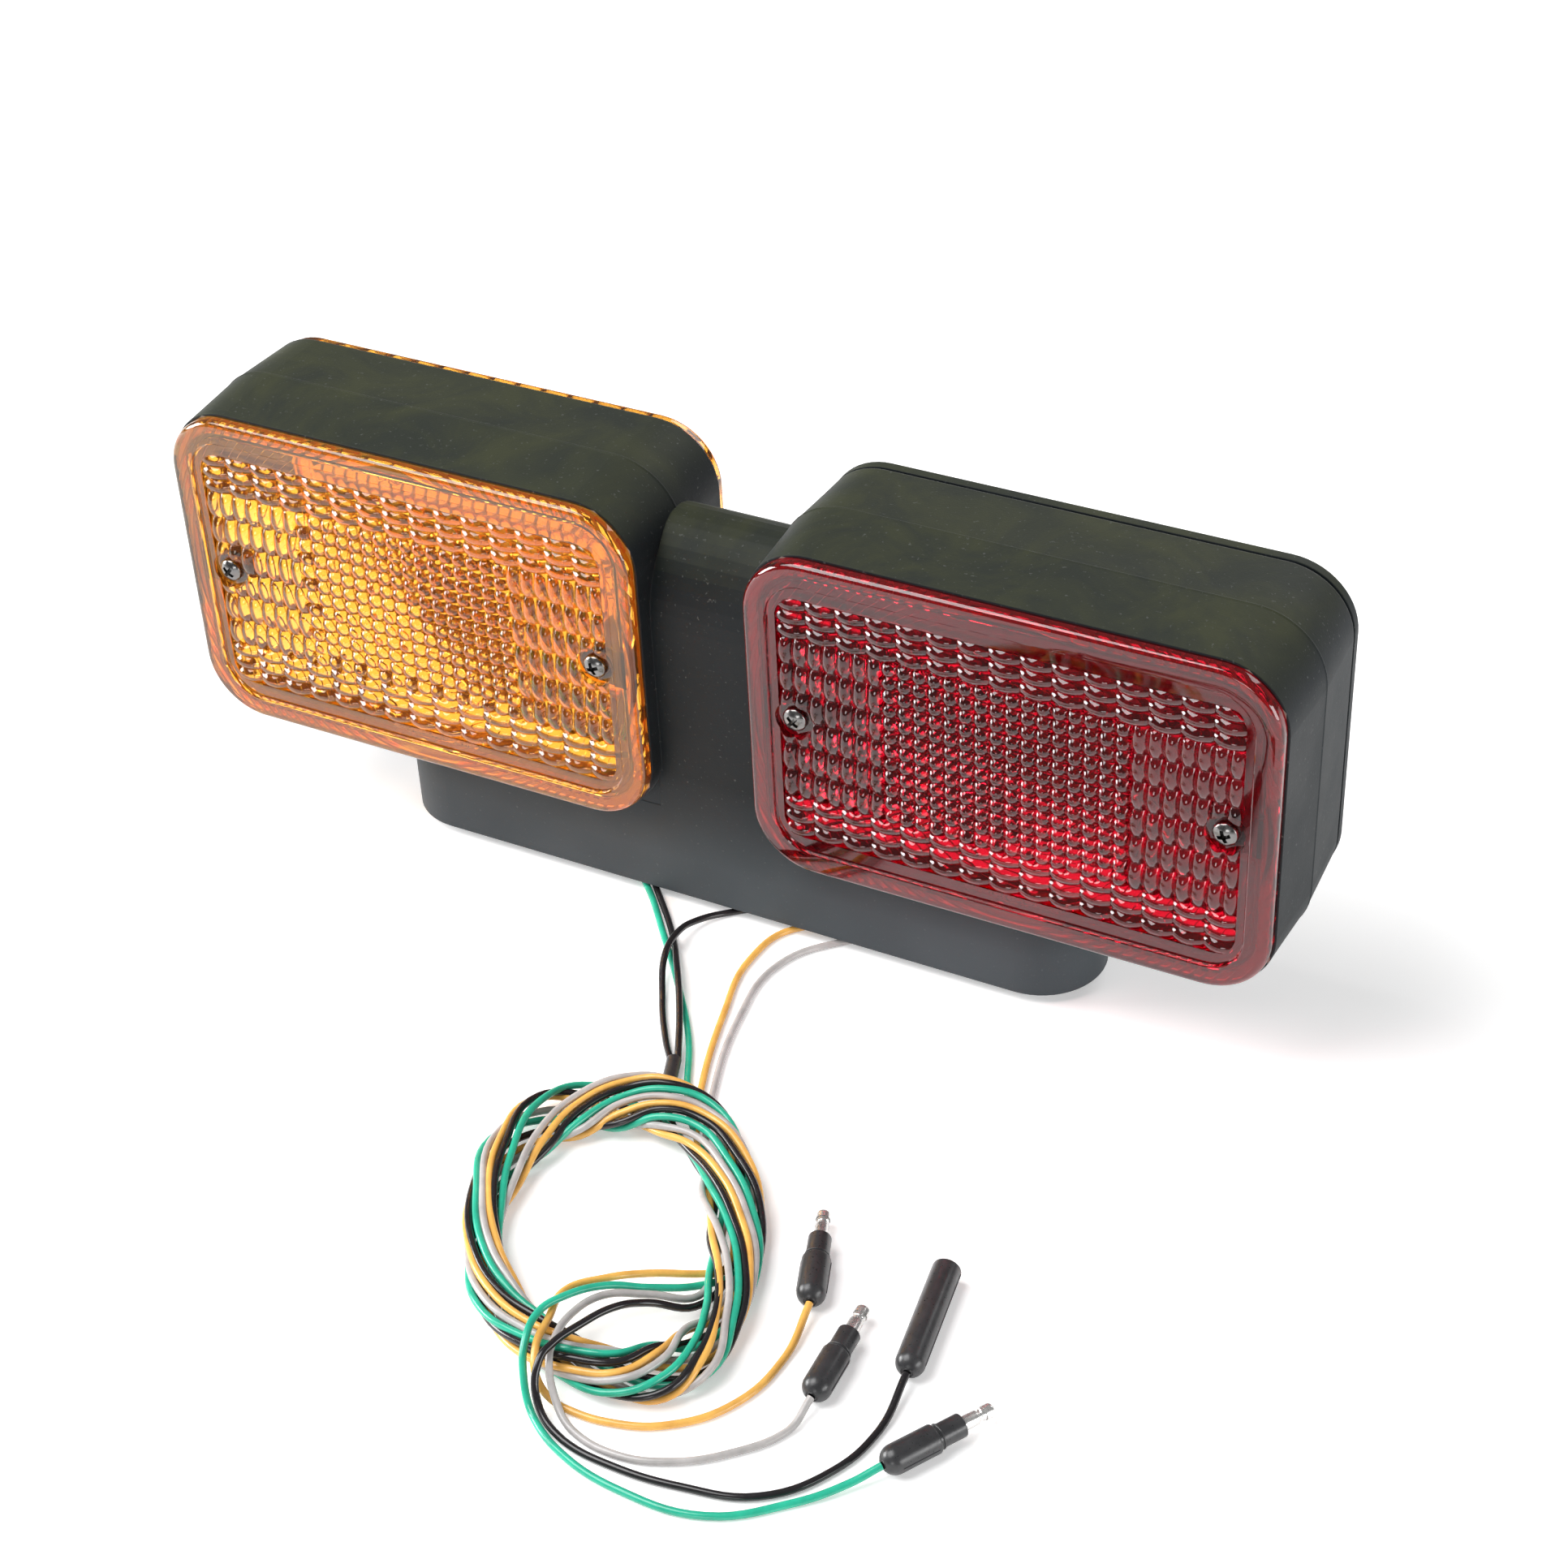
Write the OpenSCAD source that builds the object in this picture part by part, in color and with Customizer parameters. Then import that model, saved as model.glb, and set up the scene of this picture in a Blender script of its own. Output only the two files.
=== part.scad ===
// Rear light for a tractor: two rubber heads on one moulded base.
// One head has an amber lens on both faces, the other a red lens and a blank cover.
// X runs along the two heads, Y from the front lenses to the back, Z up from the feet.

/* [Heads] */
// Width of each head across its rim
head_w = 160; // [152:1:166]
// Height of each head across its rim
head_h = 108.5; // [104:0.5:112]
// Depth of each rubber head from rim to rim
head_d = 50; // [46:1:56]
// Corner radius of the outline at the rim
head_r = 20; // [17:1:23]
// Distance between the centres of the two heads
head_pitch = 195; // [190:1:202]
// Height of the heads' centres above the feet
head_z = 88; // [86:1:92]
// How far each side swells from the rims to the parting line at mid-depth
draft = 1.2; // [0.4:0.1:1.6]
// Thickness of the rubber walls
wall = 5; // [4:0.5:6]

/* [Base] */
// Thickness of the base from front to back
base_t = 40; // [36:1:44]
// Height of the base's lower edge above the feet
base_lift = 3.5; // [2.5:0.5:5]
// Height of the web's crest between the heads
web_top = 130.5; // [126:0.5:133]
// Height of the rounded part of the crest
web_nose = 28; // [22:1:32]
// Depth of the hollow in the base's underside
pocket_depth = 20; // [16:1:22]
// Distance between the two mounting threads
bolt_spacing = 180; // [176:1:184]
// Core diameter of the mounting threads
bolt_core_d = 6.8; // [6.2:0.2:7.6]
// Place along X of the hole for the amber head's leads
amber_hole_x = -45; // [-50:1:-40]
// Place along X of the hole for the red head's leads
red_hole_x = 58; // [52:1:60]

/* [Lenses] */
// How far each lens stands out from its rim
lens_rise = 4.3; // [3.8:0.1:5]
// Thickness of a lens behind its optics
lens_t = 2.8; // [2.2:0.1:3.2]
// Rounding of the lens's outer edge
lens_edge = 2; // [1:0.25:2.5]
// Size of the smallest optic cell
cell = 4.62; // [4.5:0.02:4.7]
// Drop from an optic's crown to its corner
cell_drop = 1; // [0.6:0.1:1.2]
// Distance between the two screws of a lens
screw_spacing = 129.4; // [126:0.2:130]
// Diameter of the lens screws' heads
screw_head_d = 7.5; // [7:0.25:8]

/* [Bulbs] */
// Diameter of a bulb's glass
glass_d = 26.5; // [24:0.5:28]
// Length of a bulb from contact to crown
bulb_len = 52.5; // [48:0.5:54]
// Diameter of a bulb's metal cap
cap_d = 15; // [14:0.5:16]

/* [Leads] */
// Diameter of each insulated lead
lead_d = 2.1; // [1.9:0.1:2.2]
// Diameter of the plug sleeves
sleeve_d = 8; // [7:0.5:8]
// Diameter of the bullet pins
pin_d = 4; // [3.6:0.2:4.4]
// Height of the coil of leads
coil_h = 9; // [8:0.5:9.5]

/* [Hidden] */
$fn = 64;

// Colours as the photograph shows them
rubber_black = [0.13, 0.14, 0.14];
amber = [1.0, 0.55, 0.05];
ruby = [0.60, 0.02, 0.06];
lead_green = [0.20, 0.72, 0.60];
lead_orange = [0.93, 0.67, 0.31];
lead_grey = [0.66, 0.64, 0.65];
lead_black = [0.10, 0.10, 0.11];
steel = [0.72, 0.72, 0.74];

// Small gap that parts two surfaces, and the overshoot of a cut
eps = 0.05;
cut = 1;

// Heads and base
amber_x = -head_pitch / 2;
red_x = head_pitch / 2;
cavity_w = head_w - 2 * wall;
cavity_h = head_h - 2 * wall;
cavity_r = head_r - wall;
cavity_floor = head_z - cavity_h / 2;
base_end_r = base_t / 2;
base_top = head_z - head_h / 2 + wall / 2;
pocket_top = base_lift + pocket_depth;
gap_w = head_pitch - head_w;
core_w = gap_w - 13;
core_t = base_t - 14;
core_top = web_top - web_nose;

// Ridge that the mould leaves round each head at its parting line
seam_h = 0.2;
seam_w = 0.5;

// Feet with their threaded inserts
foot_w = 36;
foot_t = base_t - 12;
insert_r = 7;
insert_len = 19;
thread_len = 16;

// Lens screws, their inserts and the rubber columns that hold them
screw_x = screw_spacing / 2;
screw_r = 2;
screw_len = 14;
screw_head_h = 2.6;
screw_sink = 2.4;
recess_r = 6;
column_r = 6.5;
column_end = head_d / 2 - 1;
brass_r = 4;
brass_len = 12;
pillar_r = 5.4;

// Lens outlines from the outside in
lens_w = head_w - 1.2;
lens_h = head_h - 1.3;
lens_r = head_r - 0.6;
border_w = 143.6;
border_h = 92.8;
border_r = 13;
groove_depth = 1.2;
lip_t = 1.6;
lip_depth = 3;
lip_gap = 0.4;
cover_edge = 1;
lens_seat = lens_rise - screw_sink;
fine_cols = 16;
fine_rows = 12;
side_cols = 7;
band_rows = 3;
optic_cols = fine_cols + 2 * side_cols;
optic_rows = fine_rows + 2 * band_rows;
optic_w = optic_cols * cell;
optic_h = optic_rows * cell;
optic_r = 7;
groove_z = lens_rise - groove_depth;
inner_z = lens_rise - lens_t;
ring_pitch = 2.4;
ring_depth = 0.6;
rim_wall = 1.2;

// Socket, bracket and bulb
bracket_t = 1.5;
bracket_rise = 7;
bracket_w = 30;
platform_d = 26;
foot_d = 8;
platform_z = cavity_floor + bracket_rise;
socket_r = cap_d / 2 + 1.9;
socket_h = 19;
socket_bore_r = cap_d / 2 + 0.2;
socket_floor = 1.5;
disc_t = 2;
cap_len = 17;
cap_z = platform_z + socket_floor + disc_t;
glass_z = cap_z + bulb_len - glass_d / 2;
pin_z = cap_z + 9;
terminal_w = 8;
terminal_h = 5;
bracket_screw_r = 1.75;
bracket_screw_len = 12;
bracket_head_d = 5;
bracket_head_h = 1.8;

// Grommets in the floor of each cavity
grommet_r = 6;
flange_r = 8;
flange_t = 2;
lead_hole_r = lead_d / 2 + eps;
amber_holes = [[0, -2.4], [0, 2.4]];
red_holes = [[0, -3], [-2.7, 1.6], [2.7, 1.6]];

// Splice that joins the two black leads
splice_r = 2.2;
splice_len = 9;
splice_at = [20, -86.5];
splice_turn = -70;

// Plug sleeves: where the lead enters and which way the plug points
plug_z = sleeve_d / 2;
sleeve_body = 16;
sleeve_len = 24;
collar_r = sleeve_d / 2 - 0.8;
female_back = 13;
pin_out = 9.5;
pin_in = 6;
female_len = 38.5;
female_tube = 20;
tube_wall = 0.7;
green_plug_at = [140.5, -198.5];
green_plug_turn = 59;
orange_plug_at = [99.5, -157];
orange_plug_turn = 110;
grey_plug_at = [114.5, -186];
grey_plug_turn = 92;
black_plug_at = [133, -168.5];
black_plug_turn = 99;

// Resting height of a lead on the surface, and of one that crosses the coil
lie = lead_d / 2 + eps;
over = coil_h + lie + 0.1;
lead_top = pocket_top - flange_t;

// Where a black lead ends in the splice, side by side with the other one
function splice_end(side) = [
    splice_at[0] - side * splice_r / 2 * sin(splice_turn),
    splice_at[1] + side * splice_r / 2 * cos(splice_turn), splice_r
];

// Routes of the leads from the grommets to the coil
green_route = [
    [amber_hole_x, -2.4, lead_top], [amber_hole_x, -2.4, 14], [-37, -10, 3.6],
    [-27, -18.5, lie], [-11, -37, lie], [3, -54, lie], [19, -76, lie], [30.2, -97.2, lie]
];
black_left_route = [
    [amber_hole_x, 2.4, lead_top], [amber_hole_x, 2.4, 13], [-35, -6, 4],
    [-24.5, -17.5, lie], [-8, -36.5, lie], [0, -48.5, 3.4], [12, -68.5, 3.4], splice_end(1)
];
black_right_route = [
    [red_hole_x - 2.7, 1.6, lead_top], [red_hole_x - 2.7, 1.6, 14], [40, -3, 6], [18, -11, 2.4],
    [3, -19, lie], [-4, -29, 2.8], [-5.2, -38, 4.8], [-4, -48, 4.6], [3, -63, lie],
    [13, -79, lie], splice_end(-1)
];
orange_route = [
    [red_hole_x, -3, lead_top], [red_hole_x, -3, 14], [45, -11, 3.6],
    [24, -18.5, lie], [18.5, -36, lie], [23, -62, lie], [34.1, -97.7, lie]
];
grey_route = [
    [red_hole_x + 2.7, 1.6, lead_top], [red_hole_x + 2.7, 1.6, 12], [55, -10, 3.4],
    [40, -18, lie], [27.5, -35, lie], [28, -62, lie], [38.2, -98.6, lie]
];

// Routes of the four tails from the coil to their plugs
green_tail_route = [
    [70.3, -162.3, 3], [59.5, -172, 6.5], [51, -179.5, 10.6], [44, -189, 12.4], [41, -196, 12.4],
    [42.5, -206, 11.2], [45.5, -212.5, 6.5], [51.5, -219, lie], [64, -226.6, lie], [84, -231, lie],
    [107, -229, lie], [125, -216, lie], [135, -205.5, 2.2], [140.5, -198.5, plug_z]
];
orange_tail_route = [
    [68.7, -158.5, 3], [57, -167.5, 6.5], [49, -176, 9.2], [42, -185.5, over], [43.2, -195, over],
    [46, -207, over], [50, -212.5, 6], [57, -213.5, lie], [70, -213, lie],
    [85, -207, lie], [97, -193, lie], [101, -174, lie], [99.5, -157, plug_z]
];
grey_tail_route = [
    [71.2, -166.3, 3], [61, -174.5, 7], [52, -182.5, over], [47.8, -192, over], [48.3, -201, over],
    [50.8, -208, over - 0.2], [55.5, -214, 4.6], [63, -219, lie], [76, -221.5, lie],
    [90, -218, lie], [104, -208, lie], [113, -196, lie], [114.5, -186, plug_z]
];
black_tail_route = [
    [72.3, -170, 3], [63, -178, 8], [58, -187, 12.6], [53, -197, 13], [50.3, -205, 13.2],
    [49.6, -210.5, 12.2], [52.5, -217.5, 5], [63, -223, lie], [78, -225, lie], [97, -223.5, lie],
    [116, -218, lie], [129, -203, lie], [133.8, -186, lie], [133, -168.5, plug_z]
];

// Outer and inner outline of the coil, seen from above
coil_outer = [
    [26, -97.5], [8, -99], [-6, -115], [-10, -140], [-2, -165], [14, -191], [35, -204],
    [57, -208], [78, -206], [87.5, -192], [87, -170], [80, -144], [65, -120], [46, -102]
];
coil_inner = [
    [30, -119], [15, -126], [8, -139], [9, -161], [20, -178], [38, -190], [52, -193.5],
    [66, -189.5], [73.5, -178], [71, -163], [61, -144], [46, -124]
];

// A point of a closed smooth curve through p, with s from 0 to 1 between p[i] and p[i + 1]
function bend(a, b, c, d, s) =
    b + 0.5 * s * ((c - a) + s * ((2 * a - 5 * b + 4 * c - d) + s * (3 * (b - c) + d - a)));
function loop_point(p, i, s) = let (n = len(p))
    bend(p[(i + n - 1) % n], p[i], p[(i + 1) % n], p[(i + 2) % n], s);
function smooth_loop(p, steps) =
    [for (i = [0 : len(p) - 1], k = [0 : steps - 1]) loop_point(p, i, k / steps)];

// Directions along a route, and across it without twist. The last one may be given as tip.
function unit(v) = v / norm(v);
function heading(p, i, tip) = i == len(p) - 1 && !is_undef(tip)
    ? tip
    : unit(p[min(i + 1, len(p) - 1)] - p[max(i - 1, 0)]);
function square_to(v, t) = unit(v - (v * t) * t);
function across(p, i, tip) = i == 0
    ? square_to([0.3, 1, 0.2], heading(p, 0))
    : square_to(across(p, i - 1), heading(p, i, tip));
function pointing(turn) = [cos(turn), sin(turn), 0];

// One eight-sided tube through the points of a route
module tube(route, d, tip = undef) {
    sides = 8;
    last = len(route) - 1;
    rings = [
        for (i = [0 : last], k = [0 : sides - 1])
            let (t = heading(route, i, tip), s = across(route, i, tip), a = 360 * k / sides)
            route[i] + d / 2 * (cos(a) * s + sin(a) * cross(t, s))
    ];
    skin = [
        for (i = [0 : last - 1], k = [0 : sides - 1])
            let (a = i * sides + k, b = i * sides + (k + 1) % sides)
            each [[a, a + sides, b + sides], [a, b + sides, b]]
    ];
    start = [for (k = [0 : sides - 1]) k];
    finish = [for (k = [sides - 1 : -1 : 0]) last * sides + k];
    polyhedron(points = rings, faces = concat(skin, [start, finish]), convexity = 6);
}

// A rectangle with round corners, centred
module rounded(w, h, r) {
    square([w, h - 2 * r], center = true);
    square([w - 2 * r, h], center = true);
    for (sx = [-1, 1], sy = [-1, 1])
        translate([sx * (w / 2 - r), sy * (h / 2 - r)]) circle(r);
}

// A block with a rounded outline whose edge follows the children's profile.
// The profile's x runs out from the corner's centre and its y along the depth, z0 to z1.
module edged_block(w, h, r, z0, z1) {
    fx = w / 2 - r;
    fy = h / 2 - r;
    translate([-fx, -fy, z0]) cube([2 * fx, 2 * fy, z1 - z0]);
    for (a = [0, 180]) {
        rotate(a) translate([fx, 0, 0]) rotate([90, 0, 0])
            linear_extrude(2 * fy, center = true) children();
        rotate(a + 90) translate([fy, 0, 0]) rotate([90, 0, 0])
            linear_extrude(2 * fx, center = true) children();
    }
    for (mx = [0, 1], my = [0, 1])
        mirror([mx, 0, 0]) mirror([0, my, 0])
            translate([fx, fy, 0]) rotate_extrude(angle = 90) children();
}

// Places children on a head's face, their z pointing out of the rubber's rim
module on_face(x, front) {
    translate([x, front ? -head_d / 2 : head_d / 2, head_z])
        rotate([90, 0, front ? 0 : 180]) children();
}

// Places children at the two screws of a face
module at_screws() {
    for (s = [-1, 1]) translate([s * screw_x, 0, 0]) children();
}

// Outside of one head, drafted both ways from the parting line
module head_outside(x) {
    translate([x, 0, head_z]) rotate([90, 0, 0])
        edged_block(head_w, head_h, head_r, -head_d / 2, head_d / 2)
            polygon([
                [0, -head_d / 2], [head_r, -head_d / 2], [head_r + draft, -seam_w],
                [head_r + draft + seam_h, 0], [head_r + draft, seam_w],
                [head_r, head_d / 2], [0, head_d / 2]
            ]);
}

// Hollow of one head, less the two columns that take the lens screws
module head_cavity(x) {
    translate([x, 0, head_z]) rotate([90, 0, 0]) difference() {
        linear_extrude(head_d + 2 * cut, center = true) rounded(cavity_w, cavity_h, cavity_r);
        for (s = [-1, 1]) {
            translate([s * screw_x, 0, -column_end]) cylinder(h = 2 * column_end, r = column_r);
            translate([s * (screw_x + wall + column_r) - column_r - wall, -column_r, -column_end])
                cube([2 * (column_r + wall), 2 * column_r, 2 * column_end]);
        }
    }
}

// Outline of the base from above, with half-round ends
module base_outline(inset) {
    square([head_pitch, base_t - 2 * inset], center = true);
    for (s = [-1, 1]) translate([s * head_pitch / 2, 0]) circle(base_end_r - inset);
}

// Web between the heads, with a crest rounded like half an ellipse
module web() {
    steps = 20;
    crest = [
        for (k = [0 : steps])
            [base_t / 2 * cos(180 * k / steps), core_top + web_nose * sin(180 * k / steps)]
    ];
    rotate([90, 0, 90]) linear_extrude(gap_w + 2 * draft, center = true)
        polygon(concat([[-base_t / 2, base_top], [base_t / 2, base_top]], crest));
}

// Hollow in the base's underside, less the two pads for the mounting threads
module pocket() {
    difference() {
        translate([0, 0, base_lift - cut]) linear_extrude(pocket_depth + cut) base_outline(wall);
        for (s = [-1, 1]) translate([s * bolt_spacing / 2 - foot_w / 2, -base_t / 2, base_lift - 2 * cut])
            cube([foot_w, base_t, pocket_depth + 3 * cut]);
    }
    translate([-core_w / 2, -core_t / 2, pocket_top - cut])
        cube([core_w, core_t, core_top - pocket_top + cut]);
}

module housing() {
    color(rubber_black) difference() {
        union() {
            head_outside(amber_x);
            head_outside(red_x);
            translate([0, 0, base_lift]) linear_extrude(base_top - base_lift) base_outline(0);
            web();
            for (s = [-1, 1]) translate([s * bolt_spacing / 2, 0, 0])
                linear_extrude(base_lift + cut) rounded(foot_w, foot_t, foot_t / 4);
        }
        head_cavity(amber_x);
        head_cavity(red_x);
        pocket();
        for (x = [amber_x, red_x], front = [true, false])
            on_face(x, front) at_screws() translate([0, 0, -1 - brass_len])
                cylinder(h = brass_len + cut, r = brass_r);
        for (s = [-1, 1]) translate([s * bolt_spacing / 2, 0, -cut])
            cylinder(h = insert_len + cut, r = insert_r);
        for (x = [amber_hole_x, red_hole_x]) translate([x, 0, pocket_top - cut])
            cylinder(h = cavity_floor - pocket_top + 2 * cut, r = grommet_r);
        for (x = [amber_x, red_x], s = [-1, 1])
            translate([x, s * (platform_d + foot_d) / 2, cavity_floor + bracket_t - bracket_screw_len])
                cylinder(h = bracket_screw_len, r = bracket_screw_r);
    }
}

// A row of convex ridges across x, each of width w, their crowns level with the border
module ridges(count, w, run) {
    sag = cell_drop / 2;
    bow = (w * w / 4 + sag * sag) / (2 * sag);
    rotate([90, 0, 0]) linear_extrude(run, center = true)
        for (k = [0 : count - 1]) translate([(k - (count - 1) / 2) * w, 0]) intersection() {
            translate([-w / 2, groove_z]) square([w, groove_depth]);
            translate([0, lens_rise - bow]) circle(bow);
        }
}

// A block of optics: ridges one way crossed by ridges the other way
module optic_block(columns, rows, w, h) {
    intersection() {
        ridges(columns, w, rows * h);
        rotate(90) ridges(rows, h, columns * w);
    }
}

// Small optics in the middle, tall ones at the sides, wide ones above and below
module optics() {
    optic_block(fine_cols, fine_rows, cell, cell);
    for (s = [-1, 1]) {
        translate([s * (fine_cols + side_cols) / 2 * cell, 0, 0])
            optic_block(side_cols, fine_rows / 2, cell, 2 * cell);
        translate([0, s * (fine_rows + band_rows) / 2 * cell, 0])
            optic_block(optic_cols / 2, band_rows, 2 * cell, cell);
    }
}

// Hollow behind a lens, whose ceiling is stepped into rings round the bulb's axis
module prism_rings() {
    rings = ceil(norm([cavity_w, cavity_h]) / 2 / ring_pitch);
    intersection() {
        translate([0, 0, -cut]) linear_extrude(lens_rise)
            rounded(cavity_w - 2, cavity_h - 2, cavity_r - 1);
        rotate_extrude() polygon(concat(
            [[0, -2 * cut], [rings * ring_pitch, -2 * cut], [rings * ring_pitch, inner_z]],
            [for (k = [rings - 1 : -1 : 1])
                each [[k * ring_pitch, inner_z + ring_depth], [k * ring_pitch, inner_z]]],
            [[0, inner_z]]
        ));
    }
}

// Where the rings run on behind the border they leave small pockets over the rubber's rim
module edge_pockets() {
    first = ceil(cavity_h / 2 / ring_pitch);
    last = floor(norm([lens_w / 2 - lens_r, lens_h / 2 - lens_r]) / ring_pitch + lens_r / ring_pitch);
    intersection() {
        translate([0, 0, -cut]) linear_extrude(inner_z + cut) difference() {
            rounded(lens_w - 2 * rim_wall, lens_h - 2 * rim_wall, lens_r - rim_wall);
            rounded(cavity_w + eps, cavity_h + eps, cavity_r);
        }
        rotate_extrude() for (k = [first : last]) translate([(k + 0.3) * ring_pitch, -2 * cut])
            square([0.62 * ring_pitch, inner_z + 3 * cut]);
    }
}

// A moulded lens with its lip, pillars and recesses, its z pointing out
module lens() {
    difference() {
        union() {
            difference() {
                edged_block(lens_w, lens_h, lens_r, 0, lens_rise) {
                    union() {
                        square([lens_r, lens_rise - lens_edge]);
                        square([lens_r - lens_edge, lens_rise]);
                        translate([lens_r - lens_edge, lens_rise - lens_edge]) circle(lens_edge);
                    }
                }
                prism_rings();
                edge_pockets();
                translate([0, 0, groove_z]) linear_extrude(groove_depth + cut)
                    rounded(border_w, border_h, border_r);
            }
            intersection() {
                optics();
                translate([0, 0, groove_z]) linear_extrude(groove_depth + cut)
                    rounded(optic_w, optic_h, optic_r);
            }
            difference() {
                translate([0, 0, -lip_depth]) linear_extrude(lip_depth + cut)
                    rounded(cavity_w - 2 * lip_gap, cavity_h - 2 * lip_gap, cavity_r - lip_gap);
                translate([0, 0, -lip_depth - cut]) linear_extrude(lip_depth + 3 * cut)
                    rounded(cavity_w - 2 * lip_t, cavity_h - 2 * lip_t, cavity_r - lip_t);
                at_screws() translate([0, 0, -lip_depth - cut])
                    linear_extrude(lip_depth + cut) square([4 * column_r, 2 * column_r + 1], center = true);
            }
            at_screws() translate([0, 0, -1]) cylinder(h = 1 + inner_z + ring_depth, r = pillar_r);
        }
        at_screws() {
            translate([0, 0, lens_seat]) cylinder(h = lens_rise, r = recess_r);
            translate([0, 0, -1 - cut]) cylinder(h = lens_rise + 2 * cut, r = screw_r + 0.2);
        }
    }
}

module amber_front_lens() { color(amber, 0.8) on_face(amber_x, true) lens(); }
module amber_rear_lens() { color(amber, 0.8) on_face(amber_x, false) lens(); }
module red_lens() { color(ruby, 0.85) on_face(red_x, true) lens(); }

// Blank cover on the back of the red head
module rear_cover() {
    color(rubber_black) on_face(red_x, false) difference() {
        union() {
            edged_block(lens_w, lens_h, lens_r, 0, lens_rise) union() {
                square([lens_r, lens_rise - cover_edge]);
                square([lens_r - cover_edge, lens_rise]);
                translate([lens_r - cover_edge, lens_rise - cover_edge]) circle(cover_edge);
            }
            at_screws() translate([0, 0, -1]) cylinder(h = 1 + eps, r = pillar_r);
        }
        at_screws() {
            translate([0, 0, lens_seat]) cylinder(h = lens_rise, r = recess_r);
            translate([0, 0, -1 - cut]) cylinder(h = lens_rise + 2 * cut, r = screw_r + 0.2);
        }
        difference() {
            translate([0, 0, -cut]) linear_extrude(inner_z + cut)
                rounded(cavity_w - 2, cavity_h - 2, cavity_r - 1);
            at_screws() translate([0, 0, -2 * cut]) cylinder(h = lens_rise, r = pillar_r);
        }
    }
}

// A cross-slotted pan-head screw, its seat at z = 0
module pan_screw(shank_r, shank_len, head_d, head_h) {
    slot = head_d / 7;
    difference() {
        union() {
            intersection() {
                cylinder(h = head_h, r = head_d / 2);
                translate([0, 0, head_h - head_d * 0.72]) sphere(head_d * 0.72);
            }
            translate([0, 0, -shank_len]) cylinder(h = shank_len + eps, r = shank_r);
        }
        for (a = [0, 90]) rotate(a) translate([-head_d / 3.2, -slot / 2, head_h / 2])
            cube([head_d / 1.6, slot, head_h]);
    }
}

module lens_screws(x, front, seat) {
    color(steel) on_face(x, front) at_screws() translate([0, 0, seat])
        rotate(30) pan_screw(screw_r, screw_len, screw_head_d, screw_head_h);
}
module amber_front_screws() { lens_screws(amber_x, true, lens_seat); }
module amber_rear_screws() { lens_screws(amber_x, false, lens_seat); }
module red_lens_screws() { lens_screws(red_x, true, lens_seat); }
module cover_screws() { lens_screws(red_x, false, lens_seat); }

// Brass bushes that the lens screws thread into, two at each end of a head
module screw_inserts(x) {
    color("goldenrod") for (front = [true, false]) on_face(x, front) at_screws()
        translate([0, 0, -1 - brass_len]) difference() {
            cylinder(h = brass_len, r = brass_r);
            translate([0, 0, -cut]) cylinder(h = brass_len + 2 * cut, r = screw_r + eps);
        }
}
module amber_screw_inserts() { screw_inserts(amber_x); }
module red_screw_inserts() { screw_inserts(red_x); }

// Blind threaded inserts in the two feet
module mounting_inserts() {
    color("goldenrod") for (s = [-1, 1]) translate([s * bolt_spacing / 2, 0, 0]) difference() {
        cylinder(h = insert_len, r = insert_r);
        translate([0, 0, -cut]) cylinder(h = thread_len + cut, r = bolt_core_d / 2);
    }
}

// A bayonet bulb with its glass, cap and two side pins
module bulb(x) {
    color([0.95, 0.93, 0.85]) translate([x, 0, 0]) {
        translate([0, 0, cap_z]) cylinder(h = cap_len, r = cap_d / 2);
        translate([0, 0, cap_z + cap_len - eps])
            cylinder(h = glass_z - cap_z - cap_len, r1 = cap_d / 2 - 1, r2 = glass_d / 2 - 2);
        translate([0, 0, glass_z]) sphere(glass_d / 2);
        translate([0, 0, pin_z]) rotate([90, 0, 0]) cylinder(h = cap_d + 2.4, r = 1, center = true);
    }
}
module amber_bulb() { bulb(amber_x); }
module red_bulb() { bulb(red_x); }

// Socket with bayonet slots and an insulated terminal block below
module socket(x) {
    color(steel) translate([x, 0, 0]) difference() {
        union() {
            translate([0, 0, platform_z]) cylinder(h = socket_h, r = socket_r);
            translate([-terminal_w / 2, -terminal_w / 2, platform_z - terminal_h])
                cube([terminal_w, terminal_w, terminal_h + eps]);
        }
        translate([0, 0, platform_z + socket_floor]) cylinder(h = socket_h, r = socket_bore_r);
        for (s = [-1, 1]) {
            translate([-1.2, s * socket_r - socket_r / 2, pin_z - 1.2])
                cube([2.4, socket_r, socket_h]);
            translate([s * 1.6 - 2.8, s * socket_r - socket_r / 2, pin_z - 1.2])
                cube([5.6, socket_r, 2.4]);
        }
    }
}
module amber_socket() { socket(amber_x); }
module red_socket() { socket(red_x); }

// Insulating disc that carries the contact at the socket's bottom
module contact_disc(x) {
    color("saddlebrown") translate([x, 0, platform_z + socket_floor]) cylinder(h = disc_t, r = cap_d / 2);
}
module amber_contact_disc() { contact_disc(amber_x); }
module red_contact_disc() { contact_disc(red_x); }

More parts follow.
